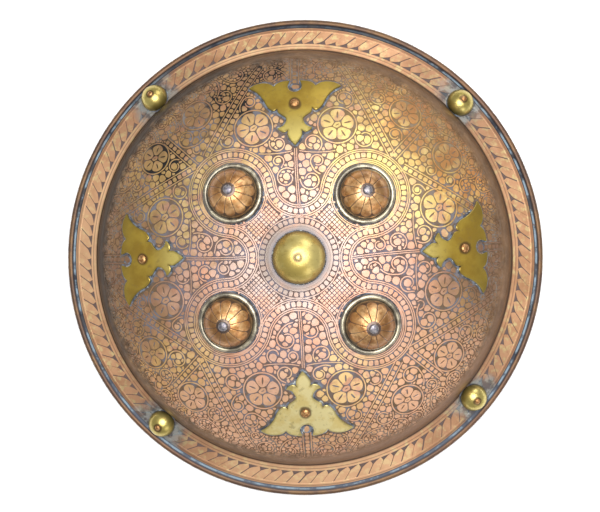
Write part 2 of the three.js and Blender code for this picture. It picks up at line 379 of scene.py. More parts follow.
def curved(start, control, end, t):
    """Points of a curve with one control point, at shares t of the way."""
    return (1 - t)**2 * start + 2 * t * (1 - t) * control + t**2 * end


def ridge(points, width=1.15, closed=False, spacing=1.6):
    points = evenly(points, spacing, closed)
    ridges.append((points, width, closed))
    for x, y in evenly(points, 0.7, closed):
        take(room, x, y, width / 2)


def pad(kind, x, y, radii, turn):
    """A flat pad: its outline is given as distances from its middle, evenly turned."""
    pads[kind].append((x, y, turn, random.random(), radii))


def round_square(half_length, half_width, count=rays, power=4.5):
    angle = np.arange(count) * 2 * math.pi / count
    return (np.abs(np.cos(angle) / half_length)**power
            + np.abs(np.sin(angle) / half_width)**power)**(-1 / power)


def row(points, pitch, half_length, half_width, closed=False):
    """A row of pads along a line, each turned along it."""
    places = evenly(points, pitch, closed)
    if not closed:
        places = (places[1:] + places[:-1]) / 2
    if closed:
        step = np.roll(places, -1, axis=0) - np.roll(places, 1, axis=0)
    else:
        step = np.gradient(places, axis=0)
    for (x, y), (dx, dy) in zip(places, step):
        shape = round_square(half_length * random.uniform(0.92, 1.03), half_width
                             * random.uniform(0.92, 1.03))
        pad("berry", x, y, shape * [random.uniform(0.95, 1.04) for _ in shape], math.atan2(dy, dx))
        take(room, x, y, min(half_length, half_width))


def ribbon(points, closed=False, half=2.75, pitch=3.85):
    """A beaded band: a row of pads between two double lines."""
    row(points, pitch, pitch / 2 - 0.17, half - 0.75, closed)
    for side in (-1, 1):
        ridge(aside(points, side * half, closed), 1.05, closed)
        ridge(aside(points, side * (half + 1.35), closed), 1.05, closed)


def ring(x, y, radius, steps=96):
    return arc_points((x, y), radius, 0, 2 * math.pi * (1 - 1 / steps), steps - 1)


# %% [markdown]
# ### The middle of the design
#
# A plain band and a ring of beads run round the centre boss. A beaded ribbon then wanders round
# the four big bosses and dips in between them, close to the centre. It is made of arcs: one round
# each boss, and two in each dip, which meet on the dip's axis and touch the arcs beside them.

# %% Rings round the middle
random.seed(11)
row(ring(0, 0, 24.95), 3.72, 1.68, 1.85, closed=True)
for radius, width in ((20.2, 0.8), (22.4, 1.0), (27.5, 1.0)):
    ridge(ring(0, 0, radius), width, closed=True)

# %% The wandering ribbon
lobe_radius = 26.4
dip_bottom = 31.2
lobe_shift = 1.2


def lobe_centre(corner):
    flat = boss_seats[corner]["flat"]
    return flat * (1 + lobe_shift / np.hypot(*flat))


def dip_arc(axis_bearing, corner):
    """Centre and radius of the arc that leaves a dip's lowest point and touches a lobe."""
    axis = np.array([math.cos(axis_bearing), math.sin(axis_bearing)])
    lobe = lobe_centre(corner)
    along = lobe @ axis
    aside_squared = lobe @ lobe - along**2
    slack = dip_bottom - lobe_radius
    out = (aside_squared + along**2 - slack**2) / (2 * (along - slack))
    return axis * out, out - dip_bottom


def quatrefoil():
    points = []
    for k, corner in enumerate(corners):
        lobe = lobe_centre(corner)
        middle = math.atan2(lobe[1], lobe[0])
        for axis_bearing, leaving in ((k * math.pi / 2, True), ((k + 1) * math.pi / 2, False)):
            centre, radius = dip_arc(axis_bearing, corner)
            start = axis_bearing + math.pi
            touch = math.atan2(*(lobe - centre)[::-1])
            turn = (touch - start + math.pi) % (2 * math.pi) - math.pi
            dip = arc_points(centre, radius, start, start + turn, 24)
            if leaving:
                points.append(dip)
                from_angle = math.atan2(*(centre - lobe)[::-1])
            else:
                to_angle = math.atan2(*(centre - lobe)[::-1])
                sweep = (to_angle - from_angle) % (2 * math.pi)
                points.append(arc_points(lobe, lobe_radius, from_angle, from_angle + sweep, 60))
                points.append(dip[::-1])
    return evenly(np.vstack(points), 1.2, closed=True)


wandering = quatrefoil()
ribbon(wandering, closed=True, half=2.75, pitch=3.85)
print("ribbon length:", round(len(wandering) * 1.2), "mm")


# %% The lattice between the ribbon and the middle
def within(x, y, outline):
    """Which points lie inside a closed outline."""
    x, y = np.atleast_1d(x), np.atleast_1d(y)
    inside = np.zeros(x.shape, bool)
    for (ax, ay), (bx, by) in zip(outline, np.roll(outline, -1, axis=0)):
        crosses = (ay > y) != (by > y)
        with np.errstate(divide="ignore", invalid="ignore"):
            inside ^= crosses & (x < (bx - ax) * (y - ay) / (by - ay) + ax)
    return inside


for corner in corners:
    x, y = boss_seats[corner]["flat"]
    take(room, x, y, 21.0, reach=6.0)
    for radius in (22.1, 23.3):
        ridge(ring(x, y, radius), 0.85, closed=True)

lattice_pitch = 2.4
square = np.tile([lattice_pitch / 2 - 0.1, lattice_pitch * 0.67 - 0.09], 4)
count = int(70 / lattice_pitch)
for i in range(-count, count + 1):
    for j in range(-count, count + 1):
        x, y = ((i - j) * lattice_pitch / math.sqrt(2), (i + j) * lattice_pitch / math.sqrt(2))
        space = room_at(room, x, y) if math.hypot(x, y) < 60 else 0
        if space > 0.1 and within(x, y, wandering)[0]:
            pad("stud", x, y, square * min(1, (space + 0.7) / 1.3), math.pi / 4)
print("lattice studs:", len(pads["stud"]))
inner_field = within(map_x.ravel(), map_y.ravel(), wandering).reshape(map_x.shape)
room[inner_field] = -1

# %% [markdown]
# ### Plates, stems, medallions and rays
#
# Each brass plate points at the middle. A stem runs from its tip into the dip of the ribbon, a
# medallion with petals lies on either side, and beaded rays leave each lobe of the ribbon: two for
# the neighbouring plates and a short one outwards.

# %% The outline of a brass plate
plate_half_width = 32.0
plate_tip = 30.7
plate_tail = 19.0
keyhole_radius = 4.8
keyhole_centre = 14.2
keyhole_mouth = 3.5
plate_curves = [
    ((0.09, -0.905), (0.153, -0.775)), ((0.169, -0.69), (0.1375, -0.638)),
    ((0.203, -0.723), (0.281, -0.677)), ((0.344, -0.645), (0.375, -0.586)),
    ((0.269, -0.58), (0.219, -0.495)), ((0.156, -0.407), (0.194, -0.345)),
    ((0.25, -0.28), (0.344, -0.228)), ((0.378, -0.18), (0.372, -0.104)),
    ((0.41, -0.17), (0.469, -0.163)), ((0.594, -0.098), (0.656, 0.158)),
    ((0.781, 0.58), (1.0, 0.76)), ((0.85, 0.99), (0.656, 0.947)),
    ((0.5, 0.905), (0.45, 0.747)), ((0.4125, 0.905), (0.297, 0.958)),
    ((0.2, 1.0), (keyhole_mouth / plate_half_width, 1.0)),
]


def plate_shape(side):
    """The plate's outline in its seat's own plane, counter-clockwise."""
    def sized(point):
        across, along = point
        return np.array([across * plate_half_width,
                         along * (plate_tip if along < 0 else plate_tail)])
    points = [np.array([0, -plate_tip])]
    for control, end in plate_curves:
        start = points[-1]
        for t in np.linspace(0, 1, 6)[1:]:
            points.append(curved(start, sized(control), sized(end), t))
    mouth = math.acos(keyhole_mouth / keyhole_radius)
    points.extend(arc_points((0, keyhole_centre), keyhole_radius, mouth, -math.pi / 2, 9)[1:])
    half = np.array(points)
    mirrored = half[1:-1] * [-1, 1]
    outline = evenly(np.vstack([half, mirrored[::-1]]), 0.9, closed=True)
    angle = math.radians(plate_turns[side] - 90)
    turn = np.array([[math.cos(angle), -math.sin(angle)], [math.sin(angle), math.cos(angle)]])
    return outline @ turn.T


def plate_outline(side):
    """The same outline on the flat sheet."""
    shape = plate_shape(side)
    seat = plate_seats[side]
    height = dome_under(seat, shape[:, 0], shape[:, 1], 0.0)
    return flat_of(seated(np.column_stack([shape, height]), seat))


plate_outlines = {side: plate_outline(side) for side in sides}
for side, outline in plate_outlines.items():
    covered = within(map_x.ravel(), map_y.ravel(), outline).reshape(map_x.shape)
    room[covered] = -1
    for x, y in evenly(outline, 0.8, closed=True):
        take(room, x, y, 1.5)


# %% Stems from the plates into the dips
def side_frame(side):
    """Outward and sideways directions of a plate on the flat sheet."""
    out = plate_seats[side]["flat"] / np.hypot(*plate_seats[side]["flat"])
    return out, np.array([-out[1], out[0]])


stem_gap = 1.35
for k, side in enumerate(sides):
    out, across = side_frame(side)
    tip = plate_seats[side]["flat"] - out * (plate_tip + 2.0)
    dip = (dip_bottom + 4.6) * np.array([math.cos(k * math.pi / 2), math.sin(k * math.pi / 2)])
    bend = (tip + dip) / 2 + across * 0.8
    t = np.linspace(0, 1, 20)[:, None]
    stem = curved(tip, bend, dip, t)
    for offset in (-stem_gap / 2, stem_gap / 2):
        ridge(aside(stem, offset), 0.85)
    for hand in (-1, 1):
        gate_end = tip + across * hand * 27 - out * 2.5
        gate_bend = tip + across * hand * 12 - out * 4.5
        gate = curved(tip - out, gate_bend, gate_end, t)
        keep = [i for i, p in enumerate(gate) if room_at(room, *p) > 0.8]
        if len(keep) > 4:
            ridge(gate[keep[0]:keep[-1] + 1], 0.85)

# %% Medallions beside the plates and in the corners
petal_room = np.full_like(room, -1)
petal_sites = []


def medallion(centre, radius, petals=5):
    ridge(ring(*centre, radius), 1.1, closed=True)
    away = np.hypot(map_x - centre[0], map_y - centre[1])
    inside = away < radius
    room[inside] = -1
    petal_room[inside] = (radius - 0.65 - away)[inside]
    petal_sites.append((*centre, radius * 0.15, 1.35, random.uniform(0.3, 0.9)))
    turn = random.uniform(0, 2)
    for k in range(petals):
        angle = turn + k * 2 * math.pi / petals
        x, y = centre + 0.56 * radius * np.array([math.cos(angle), math.sin(angle)])
        petal_sites.append((x, y, radius * 0.3, 1.05, angle))


for side in sides:
    out, across = side_frame(side)
    for hand in (-1, 1):
        medallion(plate_seats[side]["flat"] - out * 16.5 + across * hand * 29.0, 13.4)
for corner in corners:
    seat = boss_seats[corner]
    for hand in (-1, 1):
        bearing = seat["bearing"] + hand * math.radians(9.8)
        medallion(127.0 * np.array([math.cos(bearing), math.sin(bearing)]), 11.8)

# %% Strips from the keyholes, and beaded rays
for side in sides:
    out, _ = side_frame(side)
    start = plate_seats[side]["flat"] + out * (abs(keyhole_centre) + 2.4)
    strip = np.array([start + out * step for step in range(40)
                      if np.hypot(*(start + out * step)) < chased_edge - 1])
    row(strip, 3.6, 1.62, 1.6)
    for offset in (-2.9, 2.9):
        ridge(aside(strip, offset), 1.0)
for corner in corners:
    lobe = lobe_centre(corner)
    out = lobe / np.hypot(*lobe)
    across = np.array([-out[1], out[0]])
    for swing, reach in ((-72, 80), (72, 80), (4, 34)):
        start = lobe + out * (lobe_radius + 5.2) + across * math.copysign(min(abs(swing), 4) * 1.2,
                                                                          swing)
        swing = math.radians(swing)
        heading = out * math.cos(swing) + across * math.sin(swing)
        ray = [start + heading * step for step in range(reach)]
        ray = [p for p in ray if np.hypot(*p) < chased_edge - 1]
        ray = np.array([p for p in ray if room_at(room, *p) > -0.5])
        if len(ray) > 8:
            row(ray, 3.9, 1.72, 1.65)
            for offset in (-2.5, 2.5):
                ridge(aside(ray, offset), 1.0)

# %% [markdown]
# ### Filling the field
#
# The rest of the dome is scrollwork: tendrils that curl round clusters of berries. Each curl gets
# a free circle, largest first, and its tendril winds inwards. Berries then fill what is left,
# from large to small, always where they just fit, and seeds fill the last gaps.

# %% Scrolls
def fitting_spots(where, radius, gap):
    """Spots with room for a disc, the tightest first."""
    spots = np.flatnonzero(where.ravel() >= radius + gap)
    tight = where.ravel()[spots] + np.random.default_rng(int(radius * 10)).uniform(0, 0.35,
                                                                                   len(spots))
    return spots[np.argsort(tight)]


scroll_room = room.copy()
scroll_count = 0
for radius in (7.8, 6.8, 5.8, 5.0):
    for spot in fitting_spots(scroll_room, radius, 0.1):
        if scroll_room.flat[spot] < radius + 0.1:
            continue
        x, y = float(map_x.flat[spot]), float(map_y.flat[spot])
        take(scroll_room, x, y, radius - 0.6, reach=11.0)
        start = random.uniform(0, 2 * math.pi)
        hand = random.choice((-1, 1))
        turn = np.linspace(0, 1, 40)
        winding = radius - 0.5 - (radius
                                  * 0.46) * turn**1.3 + radius * 0.9 * np.clip(0.16 - turn, 0,
                                                                               1)**1.5 * 12
        angle = start + hand * turn * 2 * math.pi * 1.12
        curl = np.column_stack([x + winding * np.cos(angle), y + winding * np.sin(angle)])
        clear = [i for i, point in enumerate(curl) if np.hypot(*point) < chased_edge
                 and room_at(room, *point) > 0.7]
        first = next((i for i in range(len(curl))
                      if clear[-(len(curl) - i):] == list(range(i, len(curl)))), None)
        if first is None or len(curl) - first < 12:
            continue
        ridge(curl[first:], 1.1, spacing=1.2)
        scroll_count += 1
print("scrolls:", scroll_count)

# %% Berries
barrier = room.copy()
berry_sites = []
for radius in (2.5, 2.2, 1.95, 1.7, 1.45, 1.2, 0.95, 0.72):
    for spot in fitting_spots(room, radius, 0.12):
        if room.flat[spot] < radius + 0.12:
            continue
        x, y = float(map_x.flat[spot]), float(map_y.flat[spot])
        far = math.hypot(x, y)
        if far < 118 and radius < 1.1:
            continue
        if far > 126 and radius > 1.75 and random.random() < 0.75:
            take(room, x, y, 0.1, reach=1.2)
            continue
        longer = random.uniform(1.0,
                                1.1) if radius > 1.5 and far < 118 else random.uniform(1.1, 1.6)
        berry_sites.append((x, y, radius, longer, random.uniform(0, math.pi)))
        take(room, x, y, radius)
print("berries:", len(berry_sites))


# %% [markdown]
# ### Rounded neighbours
#
# Berries that only touch would leave wide gaps. A chaser lets each one swell until a thin line is
# left between neighbours. The same is done here: every spot of the map is given to the berry that
# is nearest, and each berry's edge is pushed out to just short of its neighbours.

# %% Letting the pads swell
def swollen(sites, limits, gap, reach=1.45):
    """For each site, how far its edge may go in each direction."""
    first, second = limits.copy(), np.full_like(limits, 50)
    owner = np.full(limits.shape, -1, np.int32)
    for index, (x, y, radius, longer, turn) in enumerate(sites):
        size = radius * reach * longer + 1.2
        i0, i1 = (int((v - size + half_map) / cell) for v in (x, y))
        j0, j1 = (int((v + size + half_map) / cell) + 2 for v in (x, y))
        window = (slice(i1, j1), slice(i0, j0))
        dx, dy = map_x[window] - x, map_y[window] - y
        along = (dx * math.cos(turn) + dy * math.sin(turn)) / longer
        beside = (dy * math.cos(turn) - dx * math.sin(turn)) * longer
        value = np.hypot(along, beside) - radius
        nearest, next_one = first[window].copy(), second[window]
        closer = value < nearest
        second[window] = np.where(closer, nearest, np.minimum(next_one, value))
        first[window] = np.where(closer, value, nearest)
        owner[window] = np.where(closer, index, owner[window])
    free = (second - first) / 2 > gap / 2
    places = np.array([site[:2] for site in sites])
    radius = np.array([site[2] for site in sites])
    angle = np.arange(rays * 2) * math.pi / rays
    found = np.zeros((len(sites), rays * 2))
    still = np.ones(found.shape, bool)
    for share in np.linspace(0.1, reach, 40):
        x = places[:, :1] + radius[:, None] * share * np.cos(angle)
        y = places[:, 1:] + radius[:, None] * share * np.sin(angle)
        row_index = np.clip(((y + half_map) / cell + 0.5).astype(int), 0, first.shape[0] - 1)
        column = np.clip(((x + half_map) / cell + 0.5).astype(int), 0, first.shape[1] - 1)
        still &= (owner[row_index, column] == np.arange(len(sites))[:, None]) & free[row_index,
                                                                                     column]
        found = np.where(still, radius[:, None] * share, found)
    padded = np.hstack([found[:, -1:], found, found[:, :1]])
    eased = 0.5 * padded[:, 1:-1] + 0.25 * (padded[:, :-2] + padded[:, 2:])
    return np.minimum(eased, found + 0.12)[:, ::2], np.minimum(eased, found + 0.12)


for (x, y, *_), radii in zip(berry_sites, swollen(berry_sites, barrier, 0.42, 1.32)[0]):
    if radii.min() > 0.3:
        pad("berry", x, y, radii, 0.0)
for (x, y, _, _, angle), radii in zip(petal_sites, swollen(petal_sites, petal_room, 0.35, 1.7)[1]):
    pads["petal"].append((x, y, 0.0, random.random(), radii, angle))
print({kind: len(places) for kind, places in pads.items()})

# %% [markdown]
# ### From drawing to relief
#
# A raised line is a low ridge with sloping sides, and a pad is a low block with a hair's breadth
# of slope round it and a slightly full top. Petals also carry a slit. Each point keeps a number
# called relief, 0 at the foot and 1 on top, which the metal's finish reads to put dark dirt at
# the foot of every mark and bright metal on its top, and one called tint, the same for a whole
# pad, so that neighbours can differ in colour.

# %% Stamping pads and ridges on to the dome
foot_lift = -ground_depth - 0.1


def lifted(share):
    """Height over the sheet of a mark's point, from 0 at its foot to 1 at its top."""
    return foot_lift + share * -foot_lift


def block(kind):
    """All pads of one kind as closed blocks: foot, shoulder, and a crown or a slit."""
    made = pads[kind]
    x, y, turn, tint = (np.array([entry[k] for entry in made])[:, None] for k in range(4))
    radii = np.array([entry[4] for entry in made])
    count = radii.shape[1]
    angle = turn + np.arange(count) * 2 * math.pi / count
    rings = [(radii, 0.0), (np.maximum(radii - 0.2, radii * 0.75), 1.0)]
    if kind == "petal":
        heading = np.array([entry[5] for entry in made])[:, None]
        reach = radii.min(1)[:, None]
        for long, thin, share in ((0.72, 0.17, 1.0), (0.62, 0.08, 0.1)):
            slit = 1 / np.sqrt((np.cos(angle - heading) / (long * reach))**2
                               + (np.sin(angle - heading) / (thin * reach))**2)
            rings.append((slit, share))
    rings.append((np.zeros((len(made), 1)), 0.15 if kind == "petal" else 1.06))
    points, shares = [], []
    for away, share in rings:
        facing = angle[:, :away.shape[1]]
        points.append(np.stack([x + away * np.cos(facing), y + away * np.sin(facing)], axis=2))
        shares.append(np.full(away.shape, share))
    points, shares = np.concatenate(points, axis=1), np.concatenate(shares, axis=1)
    here = np.arange(count)
    there = (here + 1) % count
    faces = [list(here[::-1])]
    last = (len(rings) - 2) * count
    for level in range(len(rings) - 2):
        a, b = level * count, (level + 1) * count
        faces += [[a + i, a + j, b + j, b + i] for i, j in zip(here, there)]
    faces += [[last + i, last + j, last + count] for i, j in zip(here, there)]
    size = points.shape[1]
    all_faces = [tuple(size * k + i for i in face) for k in range(len(made)) for face in faces]
    flat = points.reshape(-1, 2)
    return (on_sheet(flat[:, 0], flat[:, 1], lifted(shares.ravel())), all_faces,
            np.clip(shares.ravel(), 0, 1),
            np.repeat(tint.ravel(), size))


def ridged(lines):
    """Every raised line as a closed ridge with a flat top."""
    all_points, all_faces, all_relief, all_tint = [], [], [], []
    start = 0
    for points, width, closed in lines:
        count = len(points)
        top = (width / 2 - 0.16) / width
        for offset, share in ((-0.5, 0.0), (-top, 1.0), (top, 1.0), (0.5, 0.0)):
            moved = aside(points, offset * width, closed)
            all_points.append(on_sheet(moved[:, 0], moved[:, 1], np.full(count, lifted(share))))
            all_relief.append(np.full(count, share))
            all_tint.append(np.full(count, 0.35))
        last = count if closed else count - 1
        here = np.arange(last)
        there = (here + 1) % count
        for k in range(4):
            a, b = start + k * count, start + ((k + 1) % 4) * count
            all_faces += np.column_stack([a + here, b + here, b + there, a + there]).tolist()
        if not closed:
            ends = start + np.arange(4) * count
            all_faces += [ends[::-1].tolist(), (ends + count - 1).tolist()]
        start += 4 * count
    return np.vstack(all_points), all_faces, np.concatenate(all_relief), np.concatenate(all_tint)


def relief_piece(name, made, degrees=50):
    points, faces, relief, tint = made
    piece = mesh_piece(name, points, faces)
    mark(piece, "relief", relief)
    mark(piece, "tint", tint)
    turn_outward(piece)
    smooth(piece, degrees)
    return piece


chased_pads = relief_piece("chased_berries", block("berry"))
chased_studs = relief_piece("chased_lattice", block("stud"))
chased_petals = relief_piece("chased_petals", block("petal"), 25)
chased_lines = relief_piece("chased_lines", ridged(ridges))
chased = [chased_pads, chased_studs, chased_petals, chased_lines]
for piece in chased:
    hand_over(piece, "aged_copper")

# %% [markdown]
# ## The bowl
#
# The bowl is turned from its own section: along the outside, through the groove and round the
# rolled rim, and back along the inside. Under the chased field the outside is sunk to the level
# of the ground.

# %% The bowl's section, spun
leaf_inner, leaf_outer = travel_at(152.0), travel_at(161.7)
rim_start, rim_end = leaf_inner + 0.1, leaf_outer - 0.3


def sunk(far):
    """How deep the ground lies at a distance from the middle, along the sheet."""
    field = np.clip((far - 21.9) / 0.5, 0, 1) * np.clip((chased_edge + 0.8 - far) / 0.8, 0, 1)
    leaves = np.clip((far - rim_start) / 0.4, 0, 1) * np.clip((rim_end - far) / 0.4, 0, 1)
    return ground_depth * field + 0.26 * leaves


def bowl_section():
    far = np.concatenate([np.linspace(0, 21, 10), np.linspace(21.9, dome_travel, 96),
                          np.linspace(dome_travel, travel[-1], 26)[1:]])
    far = np.unique(np.concatenate([far, [rim_start, rim_start + 0.4, rim_end - 0.4, rim_end]]))
    depth = sunk(far)
    top = np.column_stack([np.interp(far, travel, outside[:, 0]) + depth
                           * np.interp(far, travel, slope[:, 1]),
                           np.interp(far, travel, outside[:, 1]) - depth
                           * np.interp(far, travel, slope[:, 0])])
    dip_angle = np.linspace(0, math.pi, 7)[1:-1]
    dip = np.column_stack([groove_inner + groove_width * (1 - np.cos(dip_angle)) / 2,
                           flange_outer_height - 0.3 - groove_depth * np.sin(dip_angle)])
    roll = arc_points(roll_centre, roll_radius, 0.75 * math.pi, -math.pi / 2 + roll_land, 14)
    land = arc_points(roll_centre, roll_radius, -math.pi / 2 - roll_land, -math.pi, 5)
    inner = sheet_line(sheet_thickness, 48, 8)[::-1]
    return np.vstack([top, dip, roll, land, inner]) * MM


section = bowl_section()
section[0, 0] = section[-1, 0] = 0
bowl = spun("bowl_chased", section, 168)
smooth(bowl, 40)
hand_over(bowl, "aged_copper", "bowl")

# %% [markdown]
# ## The rim's leaves
#
# A rope of slanting leaves fills the flange between two plain edges. Each leaf overlaps nothing
# and comes to a point inwards, and the little gaps between the points are what shows dark. One
# leaf is drawn flat and repeated round the rim.

# %% Leaves round the rim
leaf_count = 120
leaf_lean = math.radians(3.0)
leaf_foot, leaf_height = -0.36, 0.34


def rim_leaf():
    """One leaf as (along the rim, outwards) in shares of its own width and length."""
    side = np.array([(0.03, 0.0), (0.25, 0.13), (0.45, 0.28), (0.482, 0.36), (0.482, 0.96),
                     (0.46, 1.0)])
    return np.vstack([side, side[:0:-1] * [-1, 1]])


def rim_leaves():
    outline = rim_leaf()
    count = len(outline)
    inner = (outline - [0, 0.5]) * [0.94, 0.96] + [0, 0.5]
    all_points, all_faces, all_relief, all_tint = [], [], [], []
    for k in range(leaf_count):
        base = (k + random.uniform(-0.04, 0.04)) * 2 * math.pi / leaf_count
        for ring_points, share in ((outline, 0.0), (inner, 1.0)):
            far = leaf_inner + ring_points[:, 1] * (leaf_outer - leaf_inner)
            bearing = base + leaf_lean * (1 - ring_points[:, 1])
            bearing = bearing + ring_points[:, 0] * 2 * math.pi / leaf_count
            lift = np.full(count, leaf_foot + share * leaf_height)
            all_points.append(on_sheet(far * np.cos(bearing), far * np.sin(bearing), lift))
            all_relief.append(np.full(count, share))
        all_tint.append(np.full(2 * count, random.random()))
        start = k * 2 * count
        here = np.arange(count)
        there = (here + 1) % count
        all_faces += [(start + a, start + b, start + count + b, start + count + a) for a,
                      b in zip(here, there)]
        all_faces.append(tuple(start + here[::-1]))
        all_faces.append(tuple(start + count + here))
    return np.vstack(all_points), all_faces, np.concatenate(all_relief), np.concatenate(all_tint)


leaves = relief_piece("rim_leaves", rim_leaves(), 25)
hand_over(leaves, "aged_copper")

# %% [markdown]
# ## Centre boss and knobs
#
# The centre boss and the four rim knobs are spun brass domes. Each is turned from one closed
# section, hollow like the real one, and its foot is then let down on to the curved sheet.

# %% Hollow domes
def dome_section(radius, height, wall, hole, steps, foot):
    turn = np.linspace(math.asin(hole / radius), math.pi / 2, steps)
    outer = np.column_stack([radius * np.sin(turn), height * np.cos(turn)])
    inner = outer[::-2] * [(radius - wall) / radius, (height - wall) / height]
    inner[-1, 0] = hole
    lip = [[radius - 0.1, foot + 0.3], [radius - 0.35, foot], [radius - wall, foot]]
    return np.vstack([outer, lip, inner, outer[:1]])


def settle(piece, seat, foot_level, lift=seat_gap):
    """Lets the foot of a piece down on to the dome and puts the piece on its seat."""
    points = coordinates(piece) / MM
    low = points[:, 2] < foot_level
    points[low, 2] += dome_under(seat, points[low, 0], points[low, 1], lift)
    set_coordinates(piece, seated(points, seat))


def hollow_dome(name, radius, height, wall, hole, steps=22, around=72):
    piece = spun(name, dome_section(radius, height, wall, hole, steps, 0.0) * MM, around)
    points = coordinates(piece) / MM
    mark(piece, "height", np.clip(points[:, 2] / height, 0, 1))
    return piece


centre_boss_radius, centre_boss_height = 17.9, 13.5
centre_boss = hollow_dome("centre_boss_spun", centre_boss_radius, centre_boss_height, 1.0, 1.8)
settle(centre_boss, centre_seat, 0.9)
smooth(centre_boss, 40)
hand_over(centre_boss, "boss_brass", "centre_boss")

knob_height = 9.0
knobs = []
for corner in corners:
    knob = hollow_dome(f"rim_knob_spun_{corner}", knob_radius, knob_height, 0.9, 1.5, 14, 48)
    points = coordinates(knob) / MM
    points[:, 2] += seat_gap * (points[:, 2] < 0.6)
    placed = seated(points, knob_seats[corner])
    reach = np.hypot(placed[:, 0], placed[:, 1])
    up = (placed[:, 2] / MM - valley_height).clip(0)**2 / dome_rise**2
    wall_at = dome_radius * np.sqrt(np.clip(1 - up, 0, 1))
    clear = (wall_at + seat_gap) * MM
    grow = np.where(reach < clear, clear / np.maximum(reach, 1e-9), 1.0)
    placed[:, :2] *= grow[:, None]
    set_coordinates(knob, placed)
    smooth(knob, 40)
    hand_over(knob, "knob_brass", f"rim_knob_{corner}")
    knobs.append(knob)

# %% [markdown]
# ## Petal bosses
#
# Each petal boss is a copper dome over a rolled foot. Twelve petals were punched and chased into
# it: a thin groove runs between each two, their outer ends are round, and the little corners
# between the ends are sunk. The dome is spun plain first, and then the grooves are pressed in.

# %% Petal bosses, spun and chased
petal_boss_radius, petal_boss_height = 17.2, 15.5
foot_roll_radius, foot_roll_height = 1.8, 2.6
petals_on_boss = 12


def petal_section():
    foot = (petal_boss_radius + foot_roll_radius, foot_roll_height - foot_roll_radius)
    turn = np.linspace(math.asin(1.9 / petal_boss_radius), math.pi / 2 - 0.05, 34)
    dome = np.column_stack([petal_boss_radius * np.sin(turn),
                            foot[1] + (petal_boss_height - foot[1]) * np.cos(turn)])
    roll = arc_points(foot, foot_roll_radius, 0.78 * math.pi, 0, 10)
    under = [[foot[0] + foot_roll_radius, 0.0], [petal_boss_radius - 1.0, 0.0]]
    inner_radius, inner_height = petal_boss_radius - 1.0, petal_boss_height - 1.0
    back = np.linspace(math.pi / 2, math.asin(1.9 / inner_radius), 10)[1:]
    inner = np.column_stack([inner_radius * np.sin(back), inner_height * np.cos(back)])
    return np.vstack([dome, roll, under, inner, dome[:1]]) * MM


def chase_petals(piece):
    points = coordinates(piece) / MM
    share = np.hypot(points[:, 0], points[:, 1]) / petal_boss_radius
    outer = points[:, 2] > petal_boss_height * np.sqrt(np.clip(1 - share**2, 0, 1)) - 0.6
    outer &= share < 0.99
    phase = np.arctan2(points[:, 1], points[:, 0]) * petals_on_boss / (2 * math.pi)
    across = np.abs((phase - np.floor(phase)) * 2 - 1)
    half_width = np.where(share < 0.82, 1.0, np.sqrt(np.clip(1 - ((share - 0.82) / 0.125)**2, 0,
                                                             1)))
    to_edge = (half_width - across) * share * petal_boss_radius * math.pi / petals_on_boss
    petal = np.clip(to_edge / 0.3, 0, 1)
    band = np.clip((share - 0.955) / 0.01, 0, 1)
    centre = np.clip((0.26 - share) / 0.02, 0, 1)
    relief = np.where(outer, np.maximum(np.maximum(petal, band), centre * 0.4), 1.0)
    relief = np.where(outer & (share < 0.29), np.minimum(relief, 0.35), relief)
    points[:, 2] -= np.where(outer, 0.3 * (1 - relief), 0)
    set_coordinates(piece, points * MM)
    mark(piece, "relief", relief)
    radius = np.hypot(points[:, 0], points[:, 1])
    mark(piece, "collar", np.clip((radius - petal_boss_radius + 0.2) / 0.3, 0, 1))
    mark(piece, "crest", np.clip((points[:, 2] - foot_roll_height + 1.0) / 0.6, 0, 1))
    mark(piece, "height", points[:, 2] / petal_boss_height)


petal_bosses = []
pattern_boss = spun("petal_boss_pattern", petal_section(), 192)
chase_petals(pattern_boss)
for corner in corners:
    boss = pattern_boss.copy()
    boss.data = pattern_boss.data.copy()
    bpy.context.collection.objects.link(boss)
    boss.name = boss.data.name = f"petal_boss_chased_{corner}"
    settle(boss, boss_seats[corner], 0.4)
    smooth(boss, 55)
    hand_over(boss, "gilt_copper", f"petal_boss_{corner}")
    petal_bosses.append(boss)
bpy.data.objects.remove(pattern_boss)

# %% [markdown]
# ## Brass plates
#
# The plates were sawn from sheet and hammered to the curve of the dome. Their outline is filled
# with a fine net, laid just above the copper, and given its thickness and a filed edge.

# %% Plates
from mathutils.geometry import delaunay_2d_cdt

plate_thickness = 1.2


def netted(outline, spacing):
    """Fills a closed outline with a net of triangles."""
    low, high = outline.min(0), outline.max(0)
    grid = np.array([(x, y) for x in np.arange(low[0], high[0], spacing)
                     for y in np.arange(low[1], high[1], spacing)])
    inside = within(grid[:, 0], grid[:, 1], outline)
    away = np.hypot(*(grid[:, None] - outline[None]).transpose(2, 0, 1)).min(1)
    grid = grid[inside & (away > spacing * 0.5)]
    points = [Vector(p) for p in np.vstack([outline, grid])]
    count = len(outline)
    edges = [(i, (i + 1) % count) for i in range(count)]
    found = delaunay_2d_cdt(points, edges, [list(range(count))], 1, 1e-6)
    return np.array([tuple(p) for p in found[0]]), [tuple(f) for f in found[2]]


